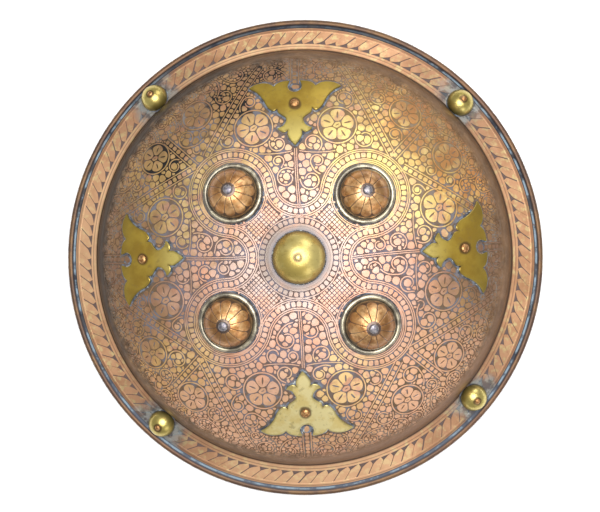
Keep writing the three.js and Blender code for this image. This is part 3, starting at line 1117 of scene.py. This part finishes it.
def brass_plate(side):
    seat = plate_seats[side]
    outline = plate_shape(side)
    top_outline = aside(outline, 0.45, closed=True)
    top_flat, top_faces = netted(top_outline, 2.2)
    count = len(outline)
    rings = [(outline, seat_gap + plate_thickness - 0.35), (outline, seat_gap)]
    points = [np.column_stack([top_flat, dome_under(seat, *top_flat.T,
                                                    seat_gap + plate_thickness)])]
    start = [0, len(top_flat)]
    for ring_points, lift in rings:
        points.append(np.column_stack([ring_points, dome_under(seat, *ring_points.T, lift)]))
        start.append(start[-1] + count)
    under_flat, under_faces = netted(outline, 6.0)
    inner_under = under_flat[count:]
    points.append(np.column_stack([inner_under, dome_under(seat, *inner_under.T, seat_gap)]))
    faces = list(top_faces)
    for a, b in ((start[0], start[1]), (start[1], start[2])):
        faces += [(a + i, b + i, b + (i + 1) % count, a + (i + 1) % count) for i in range(count)]
    under_index = [start[2] + i if i < count else start[3] + i - count
                   for i in range(len(under_flat))]
    faces += [tuple(under_index[i] for i in face[::-1]) for face in under_faces]
    shape = np.vstack(points)
    piece = mesh_piece(f"plate_sawn_{side}", seated(shape, seat), faces)
    edge_away = np.hypot(*(shape[:, None, :2] - outline[None]).transpose(2, 0, 1)).min(1)
    mark(piece, "edge", np.clip(edge_away / 2.5, 0, 1))
    turn_outward(piece)
    smooth(piece, 30)
    hand_over(piece, "plate_brass", f"plate_{side}")
    return piece


plates = [brass_plate(side) for side in sides]

# %% [markdown]
# ## Rivets
#
# Every fitting is held by its own rivet: a low round head outside, a shank through the sheet and
# a tail hammered flat inside the bowl. One section, scaled by the sizes of each kind, gives all.

# %% Rivets
def rivet_piece(name, node, slot_name, seat, shank, head, crown, head_height, around=20):
    turn = np.linspace(0, math.pi / 2, 7)
    cap = np.column_stack([head * np.sin(turn), head_height + crown * np.cos(turn)])
    tail_top = -sheet_thickness - seat_gap
    tail_radius, tail_low = shank * 1.4, tail_top - 1.1
    rest = [[shank, head_height], [shank, tail_top], [tail_radius * 0.9, tail_top],
            [tail_radius, tail_top - 0.35], [tail_radius * 0.7, tail_low + 0.15], [0, tail_low]]
    line = np.vstack([cap, rest])
    line[0, 0] = 0
    piece = spun(name, line * MM, around)
    set_coordinates(piece, seated(coordinates(piece) / MM, seat))
    smooth(piece, 50)
    hand_over(piece, slot_name, node)
    return piece


red_rivets = [rivet_piece("centre_boss_rivet_head", "centre_boss_rivet", "red_rivet", centre_seat,
                          1.5, 2.3, 1.1, centre_boss_height + seat_gap)]
grey_rivets = []
for corner in corners:
    grey_rivets.append(rivet_piece(f"petal_boss_rivet_head_{corner}", f"petal_boss_rivet_{corner}",
                                   "grey_rivet", boss_seats[corner], 1.6, 3.3, 1.5,
                                   petal_boss_height + seat_gap))
    red_rivets.append(rivet_piece(f"rim_knob_rivet_head_{corner}", f"rim_knob_rivet_{corner}",
                                  "red_rivet", knob_seats[corner], 1.2, 1.9, 0.9,
                                  knob_height + seat_gap, 14))
for side in sides:
    red_rivets.append(rivet_piece(f"plate_rivet_head_{side}", f"plate_rivet_{side}", "red_rivet",
                                  plate_seats[side], 1.5, 3.0, 1.3, plate_thickness + 2
                                  * seat_gap))

# %% [markdown]
# ## The crust along the seams
#
# Polish and damp have left a blue-grey crust wherever a fitting meets the copper. It is a low
# ragged bead that follows each seam. The groove inside the rim is only stained in such a colour.

# %% Crust
crust_lines = []


def crust(points, width, closed=True):
    wander = np.random.default_rng(len(crust_lines)).normal(0, 0.16, len(points))
    loose = np.convolve(np.concatenate([wander[-2:], wander, wander[:2]]), np.ones(5) / 5, "valid")
    moved = points + loose[:, None] * (aside(points, 1.0, closed) - points)
    crust_lines.append((moved, width, closed))


for side in sides:
    crust(evenly(aside(plate_outlines[side], -0.5, closed=True), 1.2, closed=True), 1.5)
    seat = plate_seats[side]
    angle = math.radians(plate_turns[side] - 90)
    hole = np.array([[-math.sin(angle) * keyhole_centre, math.cos(angle) * keyhole_centre]])
    hole = flat_of(seated(np.column_stack([hole, dome_under(seat, *hole.T, 0.0)]), seat))[0]
    crust(evenly(ring(*hole, 2.2), 1.0, closed=True), 2.4)
for corner in corners:
    crust(evenly(ring(*boss_seats[corner]["flat"], 20.9), 1.5, closed=True), 1.4)
    crust(evenly(ring(*knob_seats[corner]["flat"], knob_radius + 0.6), 1.3, closed=True), 2.2)
crust(evenly(ring(0, 0, centre_boss_radius + 0.35), 1.5, closed=True), 1.3)
crusts = relief_piece("seam_crust", ridged(crust_lines))
hand_over(crusts, "aged_copper")

# %% [markdown]
# ## Metals
#
# Old copper alloys are never one colour. Two small node groups do the common work: one makes a
# soft cloud that says where a stain is, and one makes a stain at a chosen place with a ragged
# edge. Each metal then mixes its own colours with them.

# %% Helpers that add nodes
class Bench:
    """Holds the node tree that is being worked on. Every helper adds its nodes to it."""
    tree = None


def feed(socket, value):
    """Sets a socket, or links it where the value is another node's output."""
    if isinstance(value, bpy.types.NodeSocket):
        Bench.tree.links.new(value, socket)
    else:
        socket.default_value = value


def add(kind, **values):
    """Adds a node. A key is a property (set_...), a socket's number (i0) or a socket's name."""
    node = Bench.tree.nodes.new(f"ShaderNode{kind}")
    for key in [k for k in values if k.startswith("set_")]:
        setattr(node, key[4:], values.pop(key))
    for key, value in values.items():
        numbered = key[0] == "i" and key[1:].isdigit()
        feed(node.inputs[int(key[1:]) if numbered else key.replace("_", " ")], value)
    return node


def math_node(operation, a, b=0.0):
    return add("Math", set_operation=operation, i0=a, i1=b).outputs[0]


def mixed(factor, a, b):
    return add("Mix", set_data_type="RGBA", i0=factor, i6=a, i7=b).outputs[2]


def both(*masks):
    """The product of masks, which is high only where all of them are."""
    result = masks[0]
    for mask in masks[1:]:
        result = math_node("MULTIPLY", result, mask)
    return result


def ramp(value, low, high, start=0.0, end=1.0):
    """A soft step between two values."""
    return add("MapRange", set_interpolation_type="SMOOTHSTEP", Value=value, From_Min=low,
               From_Max=high, To_Min=start, To_Max=end).outputs[0]


def own_place():
    return add("TexCoord").outputs["Object"]


def apart(x, y):
    """The length of a step with these two parts."""
    squares = [math_node("POWER", value, 2.0) for value in (x, y)]
    return math_node("SQRT", math_node("ADD", *squares))


def placed_noise(offset, size, detail):
    """Noise in the object's own space, at a size in metres."""
    moved = add("Mapping", Vector=own_place(), Location=offset)
    frequency = math_node("DIVIDE", 1.0, size)
    return add("TexNoise", Vector=moved.outputs[0], Scale=frequency, Detail=detail,
               Roughness=0.6).outputs["Fac"]


# %% Shared node groups
def new_group(name, inputs):
    """Starts a group that gives one mask: the group, its inputs and its result's socket."""
    group = Bench.tree = bpy.data.node_groups.new(name, "ShaderNodeTree")
    for label, kind, value in inputs:
        socket = group.interface.new_socket(label, in_out="INPUT", socket_type=f"NodeSocket{kind}")
        socket.default_value = value
    group.interface.new_socket("Mask", in_out="OUTPUT", socket_type="NodeSocketFloat")
    inner = group.nodes.new("NodeGroupInput").outputs
    return group, inner, group.nodes.new("NodeGroupOutput").inputs["Mask"]


cloud, given, result = new_group("Cloud", [
    ("Offset", "Vector", (0, 0, 0)), ("Size", "Float", 0.02), ("Low", "Float", 0.45),
    ("High", "Float", 0.6)])
feed(result, ramp(placed_noise(given["Offset"], given["Size"], 4.0), given["Low"], given["High"]))

stain, given, result = new_group("Stain", [
    ("X", "Float", 0.0), ("Y", "Float", 0.0), ("Radius", "Float", 0.02), ("Soft", "Float", 0.5),
    ("Ragged", "Float", 1.6)])
place = add("SeparateXYZ", Vector=own_place()).outputs
away = apart(math_node("SUBTRACT", place[0], given["X"]),
             math_node("SUBTRACT", place[1], given["Y"]))
share = math_node("DIVIDE", away, given["Radius"])
wander = math_node("SUBTRACT", placed_noise((0.3, 0.1, 0.2), 0.013, 4.0), 0.5)
share = math_node("ADD", share, math_node("MULTIPLY", wander, given["Ragged"]))
feed(result, ramp(share, math_node("SUBTRACT", 1.0, given["Soft"]),
                  math_node("ADD", 1.0, given["Soft"]), 1.0, 0.0))


# %% Helpers for the metals
def colour(code):
    """A colour written as in a paint book, six hexadecimal digits, turned linear."""
    parts = [int(code[i:i + 2], 16) / 255 for i in (0, 2, 4)]
    return (*[p / 12.92 if p <= 0.04045 else ((p + 0.055) / 1.055)**2.4 for p in parts], 1.0)


def use_group(group, **values):
    node = Bench.tree.nodes.new("ShaderNodeGroup")
    node.node_tree = group
    for key, value in values.items():
        feed(node.inputs[key], value)
    return node.outputs[0]


def clouded(size, low, high, offset=(0, 0, 0)):
    return use_group(cloud, Offset=offset, Size=size, Low=low, High=high)


def stained(x, y, radius, soft=0.5, ragged=1.6):
    return use_group(stain, X=x * MM, Y=y * MM, Radius=radius * MM, Soft=soft, Ragged=ragged)


def marbled(first, second, size, low, high, offset=(0, 0, 0)):
    """Two colours that change into each other in clouds."""
    return mixed(clouded(size, low, high, offset), colour(first), colour(second))


def over(base, code, *masks):
    """A colour laid over a base where all the masks let it."""
    return mixed(both(*masks), base, colour(code))


def attribute(name):
    return add("Attribute", set_attribute_name=name).outputs["Fac"]


def new_metal(name):
    material = bpy.data.materials.new(name)
    material.use_nodes = True
    Bench.tree = material.node_tree
    return material, Bench.tree.nodes["Principled BSDF"]


def finish_metal(shader, base, roughness, metallic, height=None, bump=0.0002, strength=0.5):
    for name, value in (("Base Color", base), ("Roughness", roughness), ("Metallic", metallic)):
        feed(shader.inputs[name], value)
    if height is not None:
        bumped = add("Bump", Height=height, Strength=strength, Distance=bump)
        feed(shader.inputs["Normal"], bumped.outputs[0])


# %% [markdown]
# ### The chased copper
#
# The tops of the marks are bright and the ground between them is dark. The colour of the tops
# changes over the shield: pale and pinkish in the middle, where the paleness is partly painted
# glare, yellow where gilding has lasted at the upper right, orange beyond it, and brown towards
# the edge of the dome and on the left, with patches of painted shade there and two patches of
# painted light low down. A painted shadow rings the centre boss. The ground is filled with black
# in a few patches at the upper left. The sloping flange is paler again, with painted light at the
# bottom and on the left and a painted highlight along its inner edge at the upper left. The steep
# foot of the dome and the rolled rim are a darker brown, partly their own skin and partly painted
# shade of their steep faces; the foot is painted darker on the upper left and lighter at the lower
# right, and a painted shadow lies in the crease at its foot. The dome is pinker at its lower edge,
# and the inside is a plain dark lining with soft hammer marks.

# %% Aged copper
def from_middle():
    """Distance from the shield's axis, in metres."""
    place = add("SeparateXYZ", Vector=own_place()).outputs
    return apart(place[0], place[1])


def beyond(radius, start, end):
    """A mask that rises from 0 to 1 between two distances from the axis, in millimetres."""
    return ramp(radius, start * MM, end * MM)


def above(value, low, high):
    return add("MapRange", Value=value, From_Min=low, From_Max=high).outputs[0]


def patchy(tint, size, offset, low, high):
    """A cloud that takes or leaves whole pads where it is thin."""
    value = math_node("ADD", placed_noise(offset, size * MM, 3.0),
                      math_node("MULTIPLY", math_node("SUBTRACT", tint, 0.5), 0.1))
    return above(value, low, high)


def copper_tops(tint, radius):
    """Colour of the polished tops, by where they are on the shield, with painted shade, light and
    glare in places.
    """
    # The middle is paler and greyer than the rest, partly the copper's own tone and partly painted
    # glare from the light overhead.
    middle = over(colour("A59389"), "C6ADA0", beyond(radius, 20, 34))
    middle = over(middle, "D4A991", beyond(radius, 34, 72))
    base = over(middle, "D6A274", beyond(radius, 76, 130))
    base = over(base, "D29471", patchy(tint, 16, (0.1, 0, 0), 0.45, 0.6), 0.6)
    gilt = colour("FADF8C")
    for x, y, size, softness, amount in ((62, 88, 50, 0.4, 1.0), (50, 62, 40, 0.5, 0.4),
                                         (106, 34, 30, 0.4, 0.8), (84, 66, 32, 0.4, 0.5),
                                         (30, -98, 34, 0.4, 0.5), (-36, 72, 30, 0.4, 0.35),
                                         (-78, -70, 26, 0.4, 0.4), (-88, 44, 32, 0.4, 0.6)):
        here = both(stained(x, y, size, softness), patchy(tint, 9, (x, y, 0), 0.4, 0.52), amount)
        base = mixed(here, base, gilt)
    brown = both(beyond(radius, 108, 138), 0.6)
    base = mixed(brown, base, over(colour("94704C"), "BC8658",
                                   patchy(tint, 5, (0, 0.5, 0), 0.4, 0.6)))
    olive = both(stained(-96, 60, 66, 0.5), patchy(tint, 7, (0, 0.8, 0), 0.42, 0.6), 0.6)
    base = over(base, "AD944F", olive)
    golden = both(beyond(radius, 84, 112), patchy(tint, 12, (0.3, 0.8, 0), 0.4, 0.56), 0.6)
    base = over(base, "CDA35A", golden)
    orange = both(stained(104, 88, 60, 0.4), patchy(tint, 9, (0.7, 0, 0), 0.38, 0.54),
                  beyond(radius, 92, 112), 0.75)
    base = over(base, "CC8440", orange)
    rosy = both(beyond(radius, 92, 120), stained(10, -150, 112, 0.4), 0.6)
    base = mixed(rosy, base, over(colour("D8A488"), "C6947A",
                                  patchy(tint, 8, (0.9, 0.2, 0), 0.42, 0.58)))
    # Painted shade: darker brown patches near the foot of the dome, mostly on the left and upper
    # left.
    for x, y, size, amount in ((-125, 25, 80, 0.35), (-142, 10, 42, 0.5), (144, 0, 40, 0.6),
                               (-95, 100, 34, 0.4),
                               (-20, 140, 26, 0.5), (20, 142, 50, 0.5), (102, 98, 40, 0.45),
                               (142, -20, 50, 0.5),
                               (-114, -38, 34, 0.4), (-56, 116, 30, 0.4)):
        base = over(base, "6A5044", stained(x, y, size, 0.5), amount)
    # Painted light: two paler patches low on the dome, at the lower right and lower left.
    for x, y, size in ((94, -86, 44), (-46, -112, 36)):
        base = over(base, "E6B494", stained(x, y, size, 0.5), 0.5)
    # Painted shadow round the centre boss: a grey ring at its foot, deeper on its left side.
    boss_shadow = both(stained(-11, 3, 25, 0.5, 0.8), beyond(radius, 30, 25), 0.7)
    base = over(base, "736A62", boss_shadow)
    base = over(base, "706A6C", beyond(radius, 21.6, 18.6), 0.85)
    line = both(beyond(radius, 20.5, 20.8), beyond(radius, 21.4, 21.1), 0.5)
    base = over(base, "5E504C", line)
    return base


def copper(name):
    material, shader = new_metal(name)
    relief = attribute("relief")
    tint = attribute("tint")
    radius = from_middle()
    tops = copper_tops(tint, radius)
    grime = clouded(0.009, 0.52, 0.72, (0.2, 0.6, 0))
    tops = over(tops, "6E5140", grime, 0.3)
    tops = over(tops, "6A4A36", clouded(0.0016, 0.6, 0.72, (0.4, 0.4, 0)), 0.45)
    ground = marbled("64504A", "6E6874", 0.01, 0.42, 0.62)
    ground = mixed(beyond(radius, 60, 110), ground, marbled("64503A", "6C6A70", 0.006, 0.45, 0.6))
    ground = mixed(beyond(radius, 112, 136), ground, marbled("684C34", "7F7468", 0.005, 0.45, 0.6,
                                                             (0.4, 0, 0)))
    ground = over(ground, "96794A", stained(66, 84, 54, 0.5), 0.5)
    for x, y, size in ((-49, 108, 16), (-92, 66, 15), (-30, 127, 7), (-40, 126, 8), (-18, 129, 7)):
        ground = over(ground, "14100D", stained(x, y, size, 0.3))
    flange = marbled("CE9D76", "C19069", 0.012, 0.42, 0.6)
    flange = over(flange, "D8C48C", clouded(0.0045, 0.49, 0.64, (0.7, 0, 0)), 0.75)
    flange = over(flange, "9C6F4A", clouded(0.03, 0.5, 0.7, (0.5, 0, 0)), 0.5)
    flange = over(flange, "9A6B4C", beyond(radius, 161.4, 162.4), 0.5)
    # Painted light: the flange is made paler at the bottom and on the left.
    for x, y, size in ((10, -162, 66), (-162, 4, 52)):
        flange = over(flange, "E4B88E", stained(x, y, size, 0.5), 0.5)
    # Painted highlight along the flange's inner edge on the upper left side.
    upper_left = stained(-104, 104, 116, 0.4)
    crest = both(beyond(radius, 148.6, 149.4), beyond(radius, 153.0, 151.0), upper_left, 0.75)
    flange = over(flange, "ECC094", crest)
    for radii in ((150.2, 150.7), (162.7, 163.2)):
        line = both(beyond(radius, radii[0] - 0.2, radii[0]),
                    beyond(radius, radii[1] + 0.2, radii[1]), 0.5)
        flange = over(flange, "6E4C3C", line)
    on_flange = beyond(radius, 147.6, 148.6)
    tops = mixed(on_flange, tops, flange)
    ground = over(ground, "62504A", on_flange)
    wander = math_node("SUBTRACT", placed_noise((0.9, 0.4, 0), 0.007, 3.0), 0.5)
    loose = math_node("ADD", radius, math_node("MULTIPLY", wander, 0.016))
    foot = both(beyond(loose, 133, 141), beyond(radius, 148.8, 147.6))
    # The dome's steep foot is a darker brown, partly its own skin and partly painted shade of its
    # steep face.
    wall = marbled("765636", "604428", 0.02, 0.4, 0.65)
    wall = over(wall, "8A6C4C", clouded(0.0035, 0.5, 0.66, (0.1, 0.7, 0)), 0.5)
    # Painted shade and light on the dome's foot: much darker on the upper left, lighter at the
    # lower right.
    wall = over(wall, "2E1E0A", stained(-124, 60, 124, 0.4), 0.9)
    wall = over(wall, "8E6C54", stained(74, -118, 96, 0.5), 0.6)
    tops = mixed(foot, tops, wall)
    ground = mixed(both(foot, 0.7), ground, wall)
    # Painted shadow in the crease where the dome's foot meets the flange, weaker on the upper
    # left.
    less = math_node("SUBTRACT", 0.65, math_node("MULTIPLY", upper_left, 0.5))
    crease_shadow = both(beyond(radius, 145.2, 146.8), beyond(radius, 148.6, 147.6), less)
    tops = over(tops, "3A2E2B", crease_shadow)
    # The rolled rim is a darker brown, partly its own skin and partly painted shade of its
    # turned-away faces.
    roll = beyond(radius, 165.9, 166.5)
    tops = mixed(roll, tops, marbled("5A4334", "735639", 0.015, 0.42, 0.6))
    for corner in corners:
        x, y = 158.5 * np.array([math.cos(knob_seats[corner]["bearing"]),
                                 math.sin(knob_seats[corner]["bearing"])])
        brown = both(stained(x, y, 44, 0.6), on_flange, 0.42)
        tops = over(tops, "6E4E3A", brown)
        damp = both(stained(x, y, 17.5, 0.4), on_flange, beyond(radius, 166.0, 165.0))
        pale = marbled("434E56", "8A9392", 0.006, 0.42, 0.58, (0.3, 0.1, 0))
        tops = mixed(both(damp, 0.8), tops, pale)
        ground = mixed(both(damp, 0.8), ground, pale)
    groove = both(beyond(radius, 163.6, 164.2), beyond(radius, 167.2, 166.2))
    channel = both(beyond(radius, 164.3, 165.0), beyond(radius, 166.3, 165.6))
    shaded = stained(-20, 172, 124, 0.4)
    lit = stained(0, -170, 176, 0.5)
    streak = both(channel, clouded(0.011, 0.43, 0.58, (0, 0.2, 0)),
                  math_node("SUBTRACT", 0.9, math_node("MULTIPLY", shaded, 0.75)))
    deep = marbled("23262F", "3C3A3C", 0.01, 0.4, 0.6)
    deep = over(deep, "5E6470", lit, 0.8)
    deep = over(deep, "8A9CA8", streak)
    worn = ramp(relief, 0.35, 0.8)
    base = mixed(worn, ground, tops)
    base = mixed(both(groove, clouded(0.012, 0.28, 0.36, (0.6, 0, 0))), base, deep)
    inside = attribute("inside")
    lining = marbled("7E563C", "5E4232", 0.035, 0.38, 0.64, (0.2, 0.9, 0.4))
    lining = over(lining, "9A7A5C", clouded(0.006, 0.52, 0.7, (0.8, 0.1, 0)), 0.4)
    lining = over(lining, "4A3A30", beyond(radius, 128, 146), 0.5)
    base = mixed(inside, base, lining)
    bright = both(worn, beyond(groove, 1000.0, 0.0))
    roughness = add("MapRange", Value=bright, To_Min=0.72, To_Max=0.46).outputs[0]
    metallic = add("MapRange", Value=bright, To_Min=0.15, To_Max=0.5).outputs[0]
    fine = placed_noise((0, 0, 0), 0.0011, 3.0)
    hammered = both(placed_noise((0.3, 0.3, 0), 0.011, 1.0), inside, 6.0)
    height = math_node("ADD", fine, hammered)
    finish_metal(shader, base, roughness, metallic, height, 8e-05, 0.6)
    return material


chased_copper = copper("Chased copper")
for piece in (*chased, leaves):
    piece.data.materials.append(chased_copper)


# %% The bowl's own surface
def bowl_marks():
    points = coordinates(bowl) / MM
    radius = np.hypot(points[:, 0], points[:, 1])
    far = np.interp(radius, outside[:, 0], travel)
    line_height = np.interp(radius, outside[:, 0], outside[:, 1])
    is_outside = points[:, 2] > line_height - 0.75 + (radius > 160) * -0.4
    shade = np.where(is_outside, 1 - sunk(far) / (ground_depth * 0.7), 0.8)
    in_groove = (radius > groove_inner + 0.1) & (radius < groove_outer - 0.1)
    in_groove &= points[:, 2] > 1.5
    inside = ~is_outside & (radius < groove_outer)
    return np.clip(np.where(in_groove, 0.0, shade), 0, 1), inside.astype(float)


relief_values, inside_values = bowl_marks()
mark(bowl, "relief", relief_values)
mark(bowl, "tint", np.full(len(relief_values), 0.35))
mark(bowl, "inside", inside_values)
bowl.data.materials.append(chased_copper)

# %% [markdown]
# ### Crust, brass, petal copper and rivets
#
# The brass is yellow and rubbed bright, with olive tarnish low down and in the corners, partly
# painted shade of the steep low sides. The plates are painted paler towards their inner tips and
# darker towards their outer ends, as painted highlight and painted shade. The bottom plate has
# been scoured paler than the rest. The petal bosses are a warmer copper with dirt in the chased
# lines and painted shade on the side of each away from the middle, and their rolled feet are
# greyed, with a pale crest over a dark crevice, browner on the outer side from wear and painted
# shade.

# %% Crust
material, shader = new_metal("Seam crust")
base = marbled("42454D", "727A86", 0.004, 0.42, 0.58)
base = over(base, "6E5A4C", clouded(0.007, 0.52, 0.62, (0.1, 0.3, 0)), 0.8)
base = over(base, "C2C9C6", clouded(0.005, 0.6, 0.68, (0.3, 0.3, 0)), 0.85)
finish_metal(shader, base, 0.75, 0.15, placed_noise((0, 0, 0), 0.0008, 3.0), 0.0002, 0.6)
crusts.data.materials.append(material)


# %% Brass
def brass(name, light, dark, tarnish_and_shade, low_mask, pieces, rough, metallic, halos, tarnish_and_shade_amount=0.9,
          pale=None):
    material, shader = new_metal(name)
    base = marbled(light, dark, 0.018, 0.38, 0.62)
    radius = from_middle()
    # Painted highlight and shade on the plates: paler towards their inner tips, darker olive
    # towards their outer ends.
    base = over(base, "E0CE78", beyond(radius, 106, 82), beyond(radius, 40, 60), 0.7)
    base = mixed(both(beyond(radius, 110, 134), beyond(radius, 142, 140), 0.7), base,
                 marbled("7A6925", "947B2A", 0.01, 0.4, 0.6, (0.6, 0.2, 0)))
    if pale:
        base = mixed(stained(*pale, 0.3), base, marbled("F0DFA0", "E6CE84", 0.012, 0.4, 0.6,
                                                        (0.5, 0, 0)))
    base = over(base, "8E7640", clouded(0.0035, 0.56, 0.7, (0.2, 0, 0)), 0.4)
    # Olive tarnish low on the domes and at the plates' edges, partly the metal's own tarnish and
    # partly painted shade of the steep low sides.
    low = ramp(attribute(low_mask), 0.0, 0.62, tarnish_and_shade_amount, 0.0)
    base = over(base, tarnish_and_shade, low, clouded(0.006, 0.25, 0.5, (0, 0.9, 0)))
    for x, y, size in halos:
        base = over(base, "5E4326", stained(x, y, size, 0.2, 0.9), 0.85)
    finish_metal(shader, base, rough, metallic, placed_noise((0, 0, 0), 0.003, 3.0), 0.0001, 0.5)
    shader.inputs["Coat Weight"].default_value = 0.4
    shader.inputs["Coat Roughness"].default_value = 0.25
    for piece in pieces:
        piece.data.materials.append(material)


def above_seat(seat, height, size):
    x, y, _ = seated([(0, 0, height)], seat)[0] / MM
    return x, y, size


knob_halos = [above_seat(seat, knob_height, 3.0) for seat in knob_seats.values()]
plate_halos = [above_seat(seat, plate_thickness, 4.2) for seat in plate_seats.values()]
brass("Spun brass", "DCC87A", "C2AA58", "7A6A34", "height", [centre_boss], 0.36, 0.8,
      [(0, 0, 3.3)])
brass("Knob brass", "D6C474", "B6A256", "544A26", "height", knobs, 0.3, 0.8, knob_halos)
brass("Plate brass", "B89A38", "A2822A", "80702E", "edge", plates, 0.32, 0.65, plate_halos, 0.6,
      (3, -104, 42))

# %% Petal copper
material, shader = new_metal("Petal copper")
base = marbled("E6B67C", "C98E50", 0.008, 0.38, 0.62)
# Painted shade: each boss is darker brown on its side away from the shield's middle.
outer_side_shade = both(beyond(from_middle(), 63, 73), clouded(0.009, 0.2, 0.5, (0.5, 0.3, 0)), 0.85)
base = over(base, "855A2E", outer_side_shade)
base = over(base, "8A5626", clouded(0.0035, 0.48, 0.64, (0.2, 0, 0)), 0.6)
relief = ramp(attribute("relief"), 0.25, 0.7)
base = mixed(relief, colour("4A403E"), base)
low = ramp(attribute("height"), 0.22, 0.68, 0.9, 0.0)
base = over(base, "66502E", low, clouded(0.006, 0.25, 0.5))
collar = attribute("collar")
crest = attribute("crest")
silver = marbled("BAB096", "7E7666", 0.007, 0.42, 0.58, (0.1, 0.1, 0))
crevice = marbled("3E424C", "78808A", 0.006, 0.4, 0.6)
# The collar is browner on its side away from the middle, partly worn silver and partly painted
# shade.
wear_and_shade = both(beyond(from_middle(), 80, 98), clouded(0.012, 0.3, 0.5, (0.6, 0, 0)), 0.85)
silver = over(silver, "7C6648", wear_and_shade)
base = mixed(collar, base, mixed(crest, crevice, silver))
metallic = add("MapRange", Value=collar, To_Min=0.7, To_Max=0.75).outputs[0]
finish_metal(shader, base, 0.34, metallic, placed_noise((0, 0, 0), 0.0012, 3.0), 0.0001, 0.5)
shader.inputs["Coat Weight"].default_value = 0.6
shader.inputs["Coat Roughness"].default_value = 0.25
for piece in petal_bosses:
    piece.data.materials.append(material)

# %% Rivets
for name, pieces, first, second in (("Red rivet", red_rivets, "CC9E68", "94643A"),
                                    ("Grey rivet", grey_rivets, "A39D9C", "6E6A74")):
    material, shader = new_metal(name)
    base = marbled(first, second, 0.0015, 0.4, 0.6)
    base = over(base, "DCC88A", beyond(from_middle(), 12, 8))
    finish_metal(shader, base, 0.42, 0.8, placed_noise((0, 0, 0), 0.0008, 3.0), 0.0001, 0.5)
    for piece in pieces:
        piece.data.materials.append(material)

# %% [markdown]
# ## Floor, light and camera
#
# The shield lies on a plain pale floor, as in a catalogue picture. A large soft light hangs
# over it, next to the camera, so that the top of the dome is bright and its sides fall off into
# shade. Two weak lights from the sides keep the wall of the dome readable.

# %% Floor
floor_size = 6.0
floor_gap = 0.0002
bpy.ops.mesh.primitive_plane_add(size=floor_size, location=(0, 0, -floor_gap))
floor = bpy.context.object
floor.name = "floor"
material, shader = new_metal("Floor")
finish_metal(shader, (0.93, 0.93, 0.93, 1), 0.9, 0.0)
floor.data.materials.append(material)

# %% Lights
def softbox(bearing, tilt, distance, size, energy):
    """A round soft light aimed at the shield, its place given in degrees and metres."""
    bearing, tilt = math.radians(bearing), math.radians(tilt)
    toward = Vector((math.sin(tilt) * math.cos(bearing), math.sin(tilt) * math.sin(bearing),
                     math.cos(tilt)))
    bpy.ops.object.light_add(type="AREA", location=toward * distance)
    light = bpy.context.object
    light.data.shape = "DISK"
    light.data.size = size
    light.data.energy = energy
    light.rotation_euler = toward.to_track_quat("Z", "Y").to_euler()


softbox(63, 5, 1.35, 1.2, 23)
softbox(66, 58, 1.3, 0.7, 3.2)
softbox(305, 60, 1.3, 0.7, 2.0)
world = bpy.data.worlds.new("Studio")
bpy.context.scene.world = world
world.use_nodes = True
world.node_tree.nodes["Background"].inputs["Color"].default_value = (0.95, 0.97, 1.0, 1)
world.node_tree.nodes["Background"].inputs["Strength"].default_value = 0.36

# %% Camera
camera_place = (0.04911, 0.00107, 1.1009)
camera_lean = math.radians(2.7)
camera_lens = 92.2
bpy.ops.object.camera_add(location=camera_place, rotation=(0, camera_lean, 0))
camera = bpy.context.object
camera.data.lens = camera_lens
camera.data.sensor_width = 36
bpy.context.scene.camera = camera
bpy.context.scene.view_settings.view_transform = "Standard"
